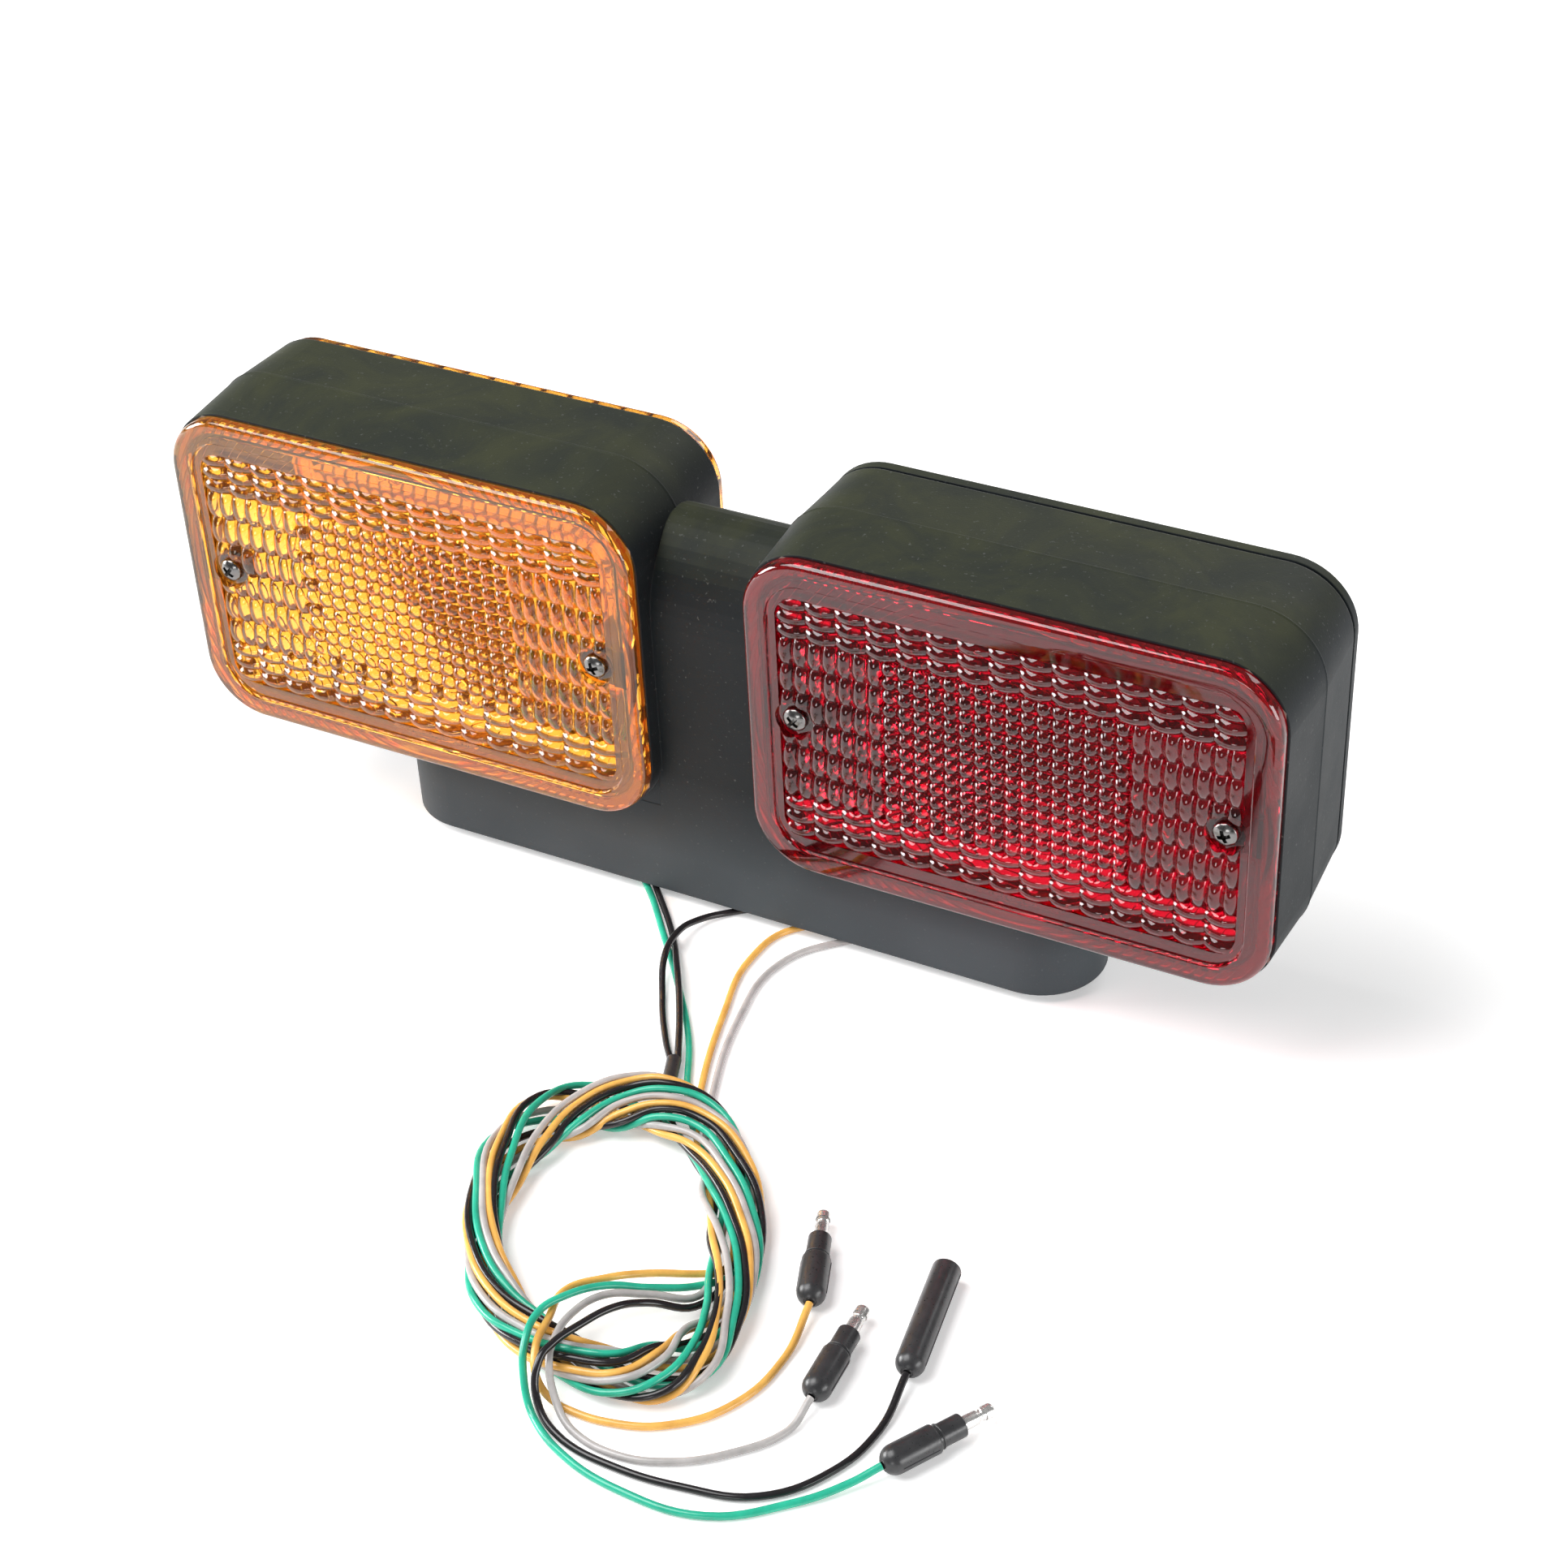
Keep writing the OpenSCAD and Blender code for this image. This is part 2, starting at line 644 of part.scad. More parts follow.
// Bent steel bracket: a raised platform on two feet
module bracket(x) {
    half = platform_d / 2;
    color(steel) translate([x, 0, cavity_floor]) difference() {
        rotate([90, 0, 90]) linear_extrude(bracket_w, center = true) polygon([
            [-half - foot_d, 0], [-half, 0], [-half, bracket_rise - bracket_t],
            [half, bracket_rise - bracket_t], [half, 0], [half + foot_d, 0],
            [half + foot_d, bracket_t], [half + bracket_t, bracket_t], [half + bracket_t, bracket_rise],
            [-half - bracket_t, bracket_rise], [-half - bracket_t, bracket_t], [-half - foot_d, bracket_t]
        ]);
        translate([-terminal_w / 2 - eps, -terminal_w / 2 - eps, 0])
            cube([terminal_w + 2 * eps, terminal_w + 2 * eps, bracket_rise + cut]);
        for (s = [-1, 1]) translate([0, s * (platform_d + foot_d) / 2, -cut])
            cylinder(h = bracket_t + 2 * cut, r = bracket_screw_r + 0.2);
    }
}
module amber_bracket() { bracket(amber_x); }
module red_bracket() { bracket(red_x); }

module bracket_screws(x) {
    color(steel) for (s = [-1, 1])
        translate([x, s * (platform_d + foot_d) / 2, cavity_floor + bracket_t])
            pan_screw(bracket_screw_r, bracket_screw_len, bracket_head_d, bracket_head_h);
}
module amber_bracket_screws() { bracket_screws(amber_x); }
module red_bracket_screws() { bracket_screws(red_x); }

// Rubber grommet with a flange on each side of the floor and a hole for each lead
module grommet(x, holes) {
    color(rubber_black) translate([x, 0, lead_top]) difference() {
        union() {
            cylinder(h = flange_t, r = flange_r);
            cylinder(h = cavity_floor - lead_top + flange_t, r = grommet_r);
            translate([0, 0, cavity_floor - lead_top]) cylinder(h = flange_t, r = flange_r);
        }
        for (p = holes) translate([p[0], p[1], -cut])
            cylinder(h = cavity_floor - lead_top + flange_t + 2 * cut, r = lead_hole_r);
    }
}
module amber_grommet() { grommet(amber_hole_x, amber_holes); }
module red_grommet() { grommet(red_hole_x, red_holes); }

// Lead inside a head: out of the terminal block, up and down through the grommet
module inner_lead(x, hole_x, hole) {
    away = sign(hole_x - x);
    z = platform_z - terminal_h / 2 - 1;
    y = hole[1];
    end_x = hole_x + hole[0];
    tube([
        [x + away * terminal_w / 2, y, z], [x + away * (terminal_w / 2 + 12), y, z],
        [end_x - away * 13, y, z + 1.5], [end_x - away * 6, y, z + 5], [end_x - away * 1.5, y, z + 3.5],
        [end_x, y, cavity_floor + flange_t], [end_x, y, lead_top]
    ], lead_d);
}
module amber_inner_leads() {
    color(lead_green) inner_lead(amber_x, amber_hole_x, amber_holes[0]);
    color(lead_black) inner_lead(amber_x, amber_hole_x, amber_holes[1]);
}
module red_inner_leads() {
    color(lead_orange) inner_lead(red_x, red_hole_x, red_holes[0]);
    color(lead_black) inner_lead(red_x, red_hole_x, red_holes[1]);
}

module green_lead() { color(lead_green) tube(green_route, lead_d); }
module black_lead_left() { color(lead_black) tube(black_left_route, lead_d, pointing(splice_turn)); }
module black_lead_right() { color(lead_black) tube(black_right_route, lead_d, pointing(splice_turn)); }
module orange_lead() { color(lead_orange) tube(orange_route, lead_d); }
module grey_lead() { color(lead_grey) tube(grey_route, lead_d); }
module green_tail() { color(lead_green) tube(green_tail_route, lead_d, pointing(green_plug_turn)); }
module black_tail() { color(lead_black) tube(black_tail_route, lead_d, pointing(black_plug_turn)); }
module orange_tail() { color(lead_orange) tube(orange_tail_route, lead_d, pointing(orange_plug_turn)); }
module grey_tail() { color(lead_grey) tube(grey_tail_route, lead_d, pointing(grey_plug_turn)); }

// Crimped sleeve where the two black leads become one
module lead_splice() {
    color(lead_black) translate([splice_at[0], splice_at[1], splice_r]) rotate([0, 90, splice_turn])
        cylinder(h = splice_len, r = splice_r);
}

// Outer shape of the coiled leads
module lead_coil() {
    steps = 3;
    color(lead_orange) linear_extrude(coil_h) difference() {
        polygon(smooth_loop(coil_outer, steps));
        polygon(smooth_loop(coil_inner, steps));
    }
}

// Places children at a plug, their z pointing from the lead's entry to the tip
module at_plug(at, turn) {
    translate([at[0], at[1], plug_z]) rotate([0, 90, turn]) children();
}

// Moulded sleeve of a bullet plug: round entry, thick body and thinner collar
module plug_sleeve(at, turn) {
    r = sleeve_d / 2;
    color(lead_black) at_plug(at, turn) difference() {
        union() {
            translate([0, 0, r]) cylinder(h = sleeve_body - r, r = r);
            intersection() {
                translate([0, 0, r]) sphere(r);
                cylinder(h = r + eps, r = r);
            }
            cylinder(h = sleeve_len, r = collar_r - 0.8);
            translate([0, 0, sleeve_body - cut]) cylinder(h = sleeve_len - sleeve_body + cut, r = collar_r);
        }
        translate([0, 0, sleeve_len - pin_in]) cylinder(h = pin_in + cut, r = pin_d / 2);
    }
}

// Rolled bullet pin with a waist and a round nose
module plug_pin(at, turn) {
    r = pin_d / 2;
    color(steel) at_plug(at, turn) difference() {
        translate([0, 0, sleeve_len - pin_in]) union() {
            cylinder(h = pin_in + pin_out - 5, r = r);
            translate([0, 0, pin_in + pin_out - 5 - eps]) cylinder(h = 2, r = r - 0.5);
            translate([0, 0, pin_in + pin_out - 3.4]) cylinder(h = 3.4 - r / 2, r = r);
            translate([0, 0, pin_in + pin_out - r / 2 - eps]) cylinder(h = r / 2 + eps, r1 = r, r2 = r / 2);
        }
        translate([0, 0, sleeve_len]) cylinder(h = pin_out + cut, r = r / 3);
    }
}

module green_plug_sleeve() { plug_sleeve(green_plug_at, green_plug_turn); }
module green_plug_pin() { plug_pin(green_plug_at, green_plug_turn); }
module orange_plug_sleeve() { plug_sleeve(orange_plug_at, orange_plug_turn); }
module orange_plug_pin() { plug_pin(orange_plug_at, orange_plug_turn); }
module grey_plug_sleeve() { plug_sleeve(grey_plug_at, grey_plug_turn); }
module grey_plug_pin() { plug_pin(grey_plug_at, grey_plug_turn); }

// Long sleeve that holds the socket for a bullet
module black_plug_sleeve() {
    r = sleeve_d / 2;
    color(lead_black) at_plug(black_plug_at, black_plug_turn) difference() {
        union() {
            translate([0, 0, r]) cylinder(h = female_len - r, r = r);
            intersection() {
                translate([0, 0, r]) sphere(r);
                cylinder(h = r + eps, r = r);
            }
            cylinder(h = r, r = r / 2);
        }
        translate([0, 0, female_back]) cylinder(h = female_len, r = pin_d / 2 + tube_wall);
    }
}
module black_plug_socket() {
    color(steel) at_plug(black_plug_at, black_plug_turn) translate([0, 0, female_back]) difference() {
        cylinder(h = female_tube, r = pin_d / 2 + tube_wall);
        translate([0, 0, 3]) cylinder(h = female_tube, r = pin_d / 2 + eps);
    }
}

housing();
amber_front_lens();
amber_rear_lens();
red_lens();
rear_cover();
amber_front_screws();
amber_rear_screws();
red_lens_screws();
cover_screws();
amber_screw_inserts();
red_screw_inserts();
mounting_inserts();
amber_bulb();
red_bulb();
amber_socket();
red_socket();
amber_contact_disc();
red_contact_disc();
amber_bracket();
red_bracket();
amber_bracket_screws();
red_bracket_screws();
amber_grommet();
red_grommet();
amber_inner_leads();
red_inner_leads();
green_lead();
black_lead_left();
black_lead_right();
orange_lead();
grey_lead();
lead_splice();
lead_coil();
green_tail();
black_tail();
orange_tail();
grey_tail();
green_plug_sleeve();
green_plug_pin();
orange_plug_sleeve();
orange_plug_pin();
grey_plug_sleeve();
grey_plug_pin();
black_plug_sleeve();
black_plug_socket();
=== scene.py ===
"""Twin rear light for a tractor, built up and lit for its picture.

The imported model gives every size. The pieces made here stand exactly where its nodes are.
"""

import math

import bmesh
import bpy
from mathutils import Matrix, Vector, noise


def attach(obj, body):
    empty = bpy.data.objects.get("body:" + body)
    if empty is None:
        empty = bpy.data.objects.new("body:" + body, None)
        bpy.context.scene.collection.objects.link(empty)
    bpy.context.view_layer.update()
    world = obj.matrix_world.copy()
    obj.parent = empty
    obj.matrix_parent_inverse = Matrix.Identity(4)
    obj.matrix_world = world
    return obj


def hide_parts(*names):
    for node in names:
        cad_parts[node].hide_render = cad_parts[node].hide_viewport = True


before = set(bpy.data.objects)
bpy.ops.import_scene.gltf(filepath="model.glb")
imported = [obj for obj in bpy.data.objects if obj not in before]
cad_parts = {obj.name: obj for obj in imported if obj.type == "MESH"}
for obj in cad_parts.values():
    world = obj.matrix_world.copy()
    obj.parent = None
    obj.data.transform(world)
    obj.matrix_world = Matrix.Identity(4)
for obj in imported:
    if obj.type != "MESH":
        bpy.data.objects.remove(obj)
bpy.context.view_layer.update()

bl_info = {
    "name": "Tractor Tail Light",
    "version": (1, 0, 0),
    "blender": (4, 5, 0),
    "location": "3D Viewport > Sidebar > Tail Light",
    "description": "Builds the lenses, bulbs, leads and plugs of a twin rear light and lights it",
    "category": "Object",
}

MM = 0.001
HAIR = 0.00001

# Middle of each head across the light, and the height of both
AMBER_X = -0.0975
RED_X = 0.0975
HEAD_Z = 0.088

# From a head's middle to the seats of its lenses, and from a lens's middle to its screws
FACE_Y = 0.025
SCREW_X = 0.0647
SCREW_SEAT = 0.0019

# Optics across and up the field of a lens
OPTIC_COLUMNS = 30
OPTIC_ROWS = 18

# Rings on the back of a lens, the first that reaches its border, and the steps round each
RINGS = 38
BORDER_RING = 21
RING_STEPS = 160


# ---------------------------------------------------------------- settings


def length_setting(name, description, default):
    """A length that a user can change."""
    return bpy.props.FloatProperty(
        name=name, description=description, default=default, unit="LENGTH"
    )


def number_setting(name, description, default):
    """A plain number that a user can change."""
    return bpy.props.FloatProperty(name=name, description=description, default=default)


def colour_setting(name, description, default):
    """A colour that a user can change."""
    return bpy.props.FloatVectorProperty(
        name=name, description=description, size=3, default=default, subtype="COLOR"
    )


class CameraSettings(bpy.types.PropertyGroup):
    """Where the picture is taken from."""

    place: bpy.props.FloatVectorProperty(
        name="Place", description="Where the camera stands", size=3,
        default=(0.37551, -0.65517, 0.60009), unit="LENGTH",
    )
    right: bpy.props.FloatVectorProperty(
        name="Right", description="Direction that is to the right in the picture", size=3,
        default=(0.88875, 0.45654, -0.04124),
    )
    up: bpy.props.FloatVectorProperty(
        name="Up", description="Direction that is up in the picture", size=3,
        default=(-0.24450, 0.54823, 0.79979),
    )
    lens: number_setting("Lens", "Focal length on a 36 mm wide sensor, in millimetres", 71.19)


class StageSettings(bpy.types.PropertyGroup):
    """The studio round the light."""

    floor_size: length_setting("Floor", "Side of the floor", 12.0)
    floor_colour: colour_setting("Floor colour", "Colour of the floor", (0.95, 0.95, 0.95))
    floor_lift: number_setting("Floor lift", "How far the floor is lifted towards white", 0.35)
    sky: number_setting("Sky", "Strength of the even light from all round", 0.20)
    key: number_setting("Key", "Power of the large light above", 30.0)
    fill: number_setting("Fill", "Power of the light in front", 3.0)
    rim: number_setting("Rim", "Power of the light behind", 8.0)
    glint: number_setting(
        "Left", "Power of the light at the left, which sparkles in the lenses", 30.0
    )
    side: number_setting("Side", "Power of the light at the right", 11.0)


class LensSettings(bpy.types.PropertyGroup):
    """One moulded lens. The three lenses are alike but for their colour."""

    width: length_setting("Width", "Width of the lens", 0.1588)
    height: length_setting("Height", "Height of the lens", 0.1072)
    corner: length_setting("Corner", "Corner radius of the outline", 0.0194)
    rise: length_setting("Rise", "How far the lens stands out from the rubber", 0.0043)
    edge: length_setting("Edge", "Rounding of the outer edge", 0.002)
    border: length_setting("Border", "Width of the fluted border, from the outer edge", 0.0074)
    groove: length_setting("Groove", "Depth of the groove inside the border", 0.0012)
    thickness: length_setting("Thickness", "Thickness of the lens behind its optics", 0.0028)
    back: length_setting("Back", "How far the clear middle reaches into the head", 0.0006)
    cell: length_setting("Cell", "Side of the smallest optic", 0.00462)
    drop: length_setting("Drop", "Drop from an optic's crown to its corner", 0.0030)
    ring_pitch: length_setting("Ring pitch", "Distance between the rings on the back", 0.0024)
    ring_depth: length_setting("Ring depth", "Depth of the steps of the rings", 0.00015)
    amber: colour_setting("Amber", "Colour of the amber plastic", (1.0, 0.47, 0.05))
    red: colour_setting("Red", "Colour of the red plastic", (0.62, 0.004, 0.02))


class LeadSettings(bpy.types.PropertyGroup):
    """The insulated leads."""

    diameter: length_setting("Diameter", "Diameter of each lead", 0.0021)
    turns: number_setting("Turns", "Turns that each lead makes in the coil", 3.27)
    green: colour_setting("Green", "Colour of the green lead", (0.030, 0.48, 0.31))
    orange: colour_setting("Orange", "Colour of the orange lead", (0.96, 0.50, 0.115))
    grey: colour_setting("Grey", "Colour of the grey lead", (0.50, 0.478, 0.468))
    black: colour_setting("Black", "Colour of the black leads", (0.018, 0.016, 0.018))


class PlugSettings(bpy.types.PropertyGroup):
    """Bullet plugs and the long sleeve that takes one."""

    width: length_setting("Width", "Diameter of the sleeves", 0.008)
    body: length_setting("Body", "Length of a sleeve's thick part", 0.016)
    length: length_setting("Length", "Length of a sleeve", 0.024)
    long_length: length_setting("Long length", "Length of the long sleeve", 0.0385)
    pin: length_setting("Pin", "Diameter of the bullet pins", 0.004)
    pin_out: length_setting("Pin out", "How far a pin stands out of its sleeve", 0.0095)


class BulbSettings(bpy.types.PropertyGroup):
    """The bayonet bulb in each head."""

    bottom: length_setting("Bottom", "Height of the bulb's contact end", 0.04925)
    cap_width: length_setting("Cap width", "Diameter of the metal cap", 0.015)
    cap_length: length_setting("Cap length", "Length of the metal cap", 0.017)
    glass_width: length_setting("Glass width", "Diameter of the glass", 0.0265)
    length: length_setting("Length", "Length over cap and glass", 0.0525)


class TailLightSettings(bpy.types.PropertyGroup):
    """All the settings of the light and its studio."""

    camera: bpy.props.PointerProperty(type=CameraSettings)
    stage: bpy.props.PointerProperty(type=StageSettings)
    lens: bpy.props.PointerProperty(type=LensSettings)
    leads: bpy.props.PointerProperty(type=LeadSettings)
    plugs: bpy.props.PointerProperty(type=PlugSettings)
    bulb: bpy.props.PointerProperty(type=BulbSettings)


# ---------------------------------------------------------------- routes of the leads

# Height in millimetres of the middle of a lead that lies on the floor
LEAD_REST = 1.1

# Routes in millimetres: from the grommets to the coil, and from the coil to the plugs
GREEN_LEAD = [
    (-45, -2.4, 21.5), (-45, -2.4, 14), (-37, -10, 3.6), (-27, -18.5, 1.1), (-11, -37, 1.1),
    (3, -54, 1.1), (19, -76, 1.1), (30.2, -97.2, 1.1),
]
BLACK_LEFT_LEAD = [
    (-45, 2.4, 21.5), (-45, 2.4, 13), (-35, -6, 4), (-24.5, -17.5, 1.1), (-8, -36.5, 1.1),
    (0, -48.5, 3.4), (12, -68.5, 3.4), (21.03, -86.12, 2.2),
]
BLACK_RIGHT_LEAD = [
    (55.3, 1.6, 21.5), (55.3, 1.6, 14), (40, -3, 6), (18, -11, 2.4), (3, -19, 1.1),
    (-4, -29, 2.8), (-5.2, -38, 4.8), (-4, -48, 4.6), (3, -63, 1.1), (13, -79, 1.1),
    (18.97, -86.88, 2.2),
]
ORANGE_LEAD = [
    (58, -3, 21.5), (58, -3, 14), (45, -11, 3.6), (24, -18.5, 1.1), (18.5, -36, 1.1),
    (23, -62, 1.1), (34.1, -97.7, 1.1),
]
GREY_LEAD = [
    (60.7, 1.6, 21.5), (60.7, 1.6, 12), (55, -10, 3.4), (40, -18, 1.1), (27.5, -35, 1.1),
    (28, -62, 1.1), (38.2, -98.6, 1.1),
]
GREEN_TAIL = [
    (70.3, -162.3, 3), (59.5, -172, 6.5), (51, -179.5, 10.6), (44, -189, 12.4),
    (41, -196, 12.4), (42.5, -206, 11.2), (45.5, -212.5, 6.5), (51.5, -219, 1.1),
    (64, -226.6, 1.1), (84, -231, 1.1), (107, -229, 1.1), (125, -216, 1.1),
    (135, -205.5, 2.2), (140.5, -198.5, 4),
]
ORANGE_TAIL = [
    (68.7, -158.5, 3), (57, -167.5, 6.5), (49, -176, 9.2), (42, -185.5, 10.2),
    (43.2, -195, 10.2), (46, -207, 10.2), (50, -212.5, 6), (57, -213.5, 1.1),
    (70, -213, 1.1), (85, -207, 1.1), (97, -193, 1.1), (101, -174, 1.1), (99.5, -157, 4),
]
GREY_TAIL = [
    (71.2, -166.3, 3), (61, -174.5, 7), (52, -182.5, 10.2), (47.8, -192, 10.2),
    (48.3, -201, 10.2), (50.8, -208, 10.0), (55.5, -214, 4.6), (63, -219, 1.1),
    (76, -221.5, 1.1), (90, -218, 1.1), (104, -208, 1.1), (113, -196, 1.1),
    (114.5, -186, 4),
]
BLACK_TAIL = [
    (72.3, -170, 3), (63, -178, 8), (58, -187, 12.6), (53, -197, 13), (50.3, -205, 13.2),
    (49.6, -210.5, 12.2), (52.5, -217.5, 5), (63, -223, 1.1), (78, -225, 1.1),
    (97, -223.5, 1.1), (116, -218, 1.1), (129, -203, 1.1), (133.8, -186, 1.1),
    (133, -168.5, 4),
]
SPLICE_END = (23.08, -94.96, 2.2)

# Outline of the coil from above, outside and inside, clockwise from the leads' entry
COIL_OUTER = [
    (26, -97.5), (46, -102), (65, -120), (80, -144), (87, -170), (87.5, -192), (78, -206),
    (57, -208), (35, -204), (14, -191), (-2, -165), (-10, -140), (-6, -115), (8, -99),
]
COIL_INNER = [
    (30, -119), (46, -124), (61, -144), (71, -163), (73.5, -178), (66, -189.5),
    (52, -193.5), (38, -190), (20, -178), (9, -161), (8, -139), (15, -126),
]

# Plugs: where the lead enters in millimetres, and which way each points in degrees
PLUGS = {
    "green": ((140.5, -198.5), 59),
    "orange": ((99.5, -157), 110),
    "grey": ((114.5, -186), 92),
    "black": ((133, -168.5), 99),
}


# ---------------------------------------------------------------- general helpers


def settings():
    """The settings held by the scene."""
    return bpy.context.scene.tail_light


def packed(*names):
    """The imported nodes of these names."""
    return [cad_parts[name] for name in names]


def deselect():
    """Leaves edit mode and clears the selection, so that the next piece starts alone."""
    if bpy.context.object and bpy.context.object.mode != "OBJECT":
        bpy.ops.object.mode_set(mode="OBJECT")
    bpy.ops.object.select_all(action="DESELECT")


def make_active(obj):
    """Selects one object and makes it the active one."""
    deselect()
    obj.select_set(True)
    bpy.context.view_layer.objects.active = obj


def named(name):
    """Names the object that an operator has just added, and its data."""
    obj = bpy.context.active_object
    obj.name = name
    obj.data.name = name
    return obj


def added(name, add, **values):
    """Adds an object by one of Blender's operators and names it."""
    deselect()
    add(**values)
    return named(name)


def edit(obj, mode="VERT"):
    """Enters edit mode on one object with nothing selected."""
    make_active(obj)
    bpy.ops.object.mode_set(mode="EDIT")
    bpy.ops.mesh.select_mode(type=mode)
    bpy.ops.mesh.select_all(action="DESELECT")


def edit_all(obj, mode="VERT"):
    """Enters edit mode on one object with everything selected."""
    edit(obj, mode)
    bpy.ops.mesh.select_all(action="SELECT")


def leave():
    """Leaves edit mode."""
    bpy.ops.object.mode_set(mode="OBJECT")


def pick(obj, kind, test):
    """In edit mode, selects the vertices, edges or faces that pass a test."""
    mesh = bmesh.from_edit_mesh(obj.data)
    group = {"VERT": mesh.verts, "EDGE": mesh.edges, "FACE": mesh.faces}[kind]
    bpy.ops.mesh.select_mode(type=kind)
    bpy.ops.mesh.select_all(action="DESELECT")
    hits = [item for item in group if test(item)]
    if not hits:
        raise RuntimeError(f"{obj.name}: nothing to select")
    for item in hits:
        item.select_set(True)
    mesh.select_flush_mode()
    bmesh.update_edit_mesh(obj.data)


def lift(height):
    """In edit mode, moves what is selected upward."""
    bpy.ops.transform.translate(value=(0, 0, height))


def extrude(height):
    """In edit mode, extrudes what is selected upward."""
    bpy.ops.mesh.extrude_region_move(TRANSFORM_OT_translate={"value": (0, 0, height)})


def inset(*rows):
    """In edit mode, insets the selected face by each (thickness, depth) in turn."""
    for thickness, depth in rows:
        bpy.ops.mesh.inset(thickness=thickness, depth=depth)


def settle(obj):
    """Puts an object's place into its mesh, so that it lies at the origin unturned."""
    make_active(obj)
    bpy.ops.object.transform_apply(location=True, rotation=True, scale=True)


def tidy(obj, merge=HAIR):
    """Merges doubled vertices and turns the faces outward."""
    edit_all(obj)
    bpy.ops.mesh.remove_doubles(threshold=merge)
    bpy.ops.mesh.normals_make_consistent(inside=False)
    leave()


def smooth(obj, degrees):
    """Shades smooth, with sharp edges kept above an angle."""
    make_active(obj)
    bpy.ops.object.shade_smooth_by_angle(angle=math.radians(degrees))


def copy_of(obj, name, place):
    """Copies a piece with its own mesh and moves the copy by a matrix."""
    twin = obj.copy()
    twin.data = obj.data.copy()
    twin.name = name
    twin.data.name = name
    bpy.context.scene.collection.objects.link(twin)
    twin.data.transform(place)
    return twin


def discard(*objects):
    """Removes the patterns that copies were made from."""
    for obj in objects:
        bpy.data.objects.remove(obj)


def join(parts, name):
    """Joins several objects into one."""
    deselect()
    for part in parts:
        part.select_set(True)
    bpy.context.view_layer.objects.active = parts[0]
    bpy.ops.object.join()
    return named(name)


def coat(obj, material):
    """Gives an object one material in place of all that it had."""
    obj.data.materials.clear()
    obj.data.materials.append(material)


def ready(obj, finish, slot, *nodes):
    """Coats a finished piece, lets it ride with the light and stand for the nodes it replaces."""
    coat(obj, finish)
    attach(obj, "root")
    if nodes:
        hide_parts(*nodes)


def face_matrix(x, front):
    """From a lens's own axes, z pointing out, to its place on a head."""
    turn = Matrix.Rotation(math.radians(90), 4, "X")
    if not front:
        turn = turn @ Matrix.Rotation(math.pi, 4, "Y")
    return Matrix.Translation((x, -FACE_Y if front else FACE_Y, HEAD_Z)) @ turn


def spun(name, profile, steps=40):
    """A turned piece: the profile of (radius, height) points is spun about z."""
    obj = added(name, bpy.ops.mesh.primitive_plane_add, size=1)
    edit_all(obj)
    bpy.ops.mesh.delete(type="VERT")
    mesh = bmesh.from_edit_mesh(obj.data)
    points = [mesh.verts.new((r, 0, z)) for r, z in profile]
    for a, b in zip(points, points[1:]):
        mesh.edges.new((a, b))
    bmesh.update_edit_mesh(obj.data)
    bpy.ops.mesh.select_all(action="SELECT")
    bpy.ops.mesh.spin(steps=steps, angle=math.tau, center=(0, 0, 0), axis=(0, 0, 1))
    leave()
    tidy(obj, HAIR / 5)
    return obj


def arc(cx, cz, radius, first, last, steps):
    """Points (radius, height) along an arc of a profile, angles in degrees."""
    turns = [math.radians(first + (last - first) * k / steps) for k in range(steps + 1)]
    return [(cx + radius * math.cos(t), cz + radius * math.sin(t)) for t in turns]


def bar(name, radius, length, place, vertices=48, turn=(0, 0)):
    """A round bar about its middle, upright unless it is turned about x and y."""
    obj = added(
        name, bpy.ops.mesh.primitive_cylinder_add, vertices=vertices, radius=radius,
        depth=length, location=place, rotation=(*map(math.radians, turn), 0),
    )
    settle(obj)
    return obj


def box(name, size, place):
    """A block of this size about its middle."""
    obj = added(name, bpy.ops.mesh.primitive_cube_add, size=1, location=place)
    obj.scale = size
    settle(obj)
    return obj


def combine(obj, other, operation):
    """Adds or cuts another solid, which is used up."""
    modifier = obj.modifiers.new(operation.lower(), "BOOLEAN")
    modifier.operation = operation
    modifier.solver = "EXACT"
    modifier.object = other
    make_active(obj)
    bpy.ops.object.modifier_apply(modifier=modifier.name)
    bpy.data.objects.remove(other)


# ---------------------------------------------------------------- materials


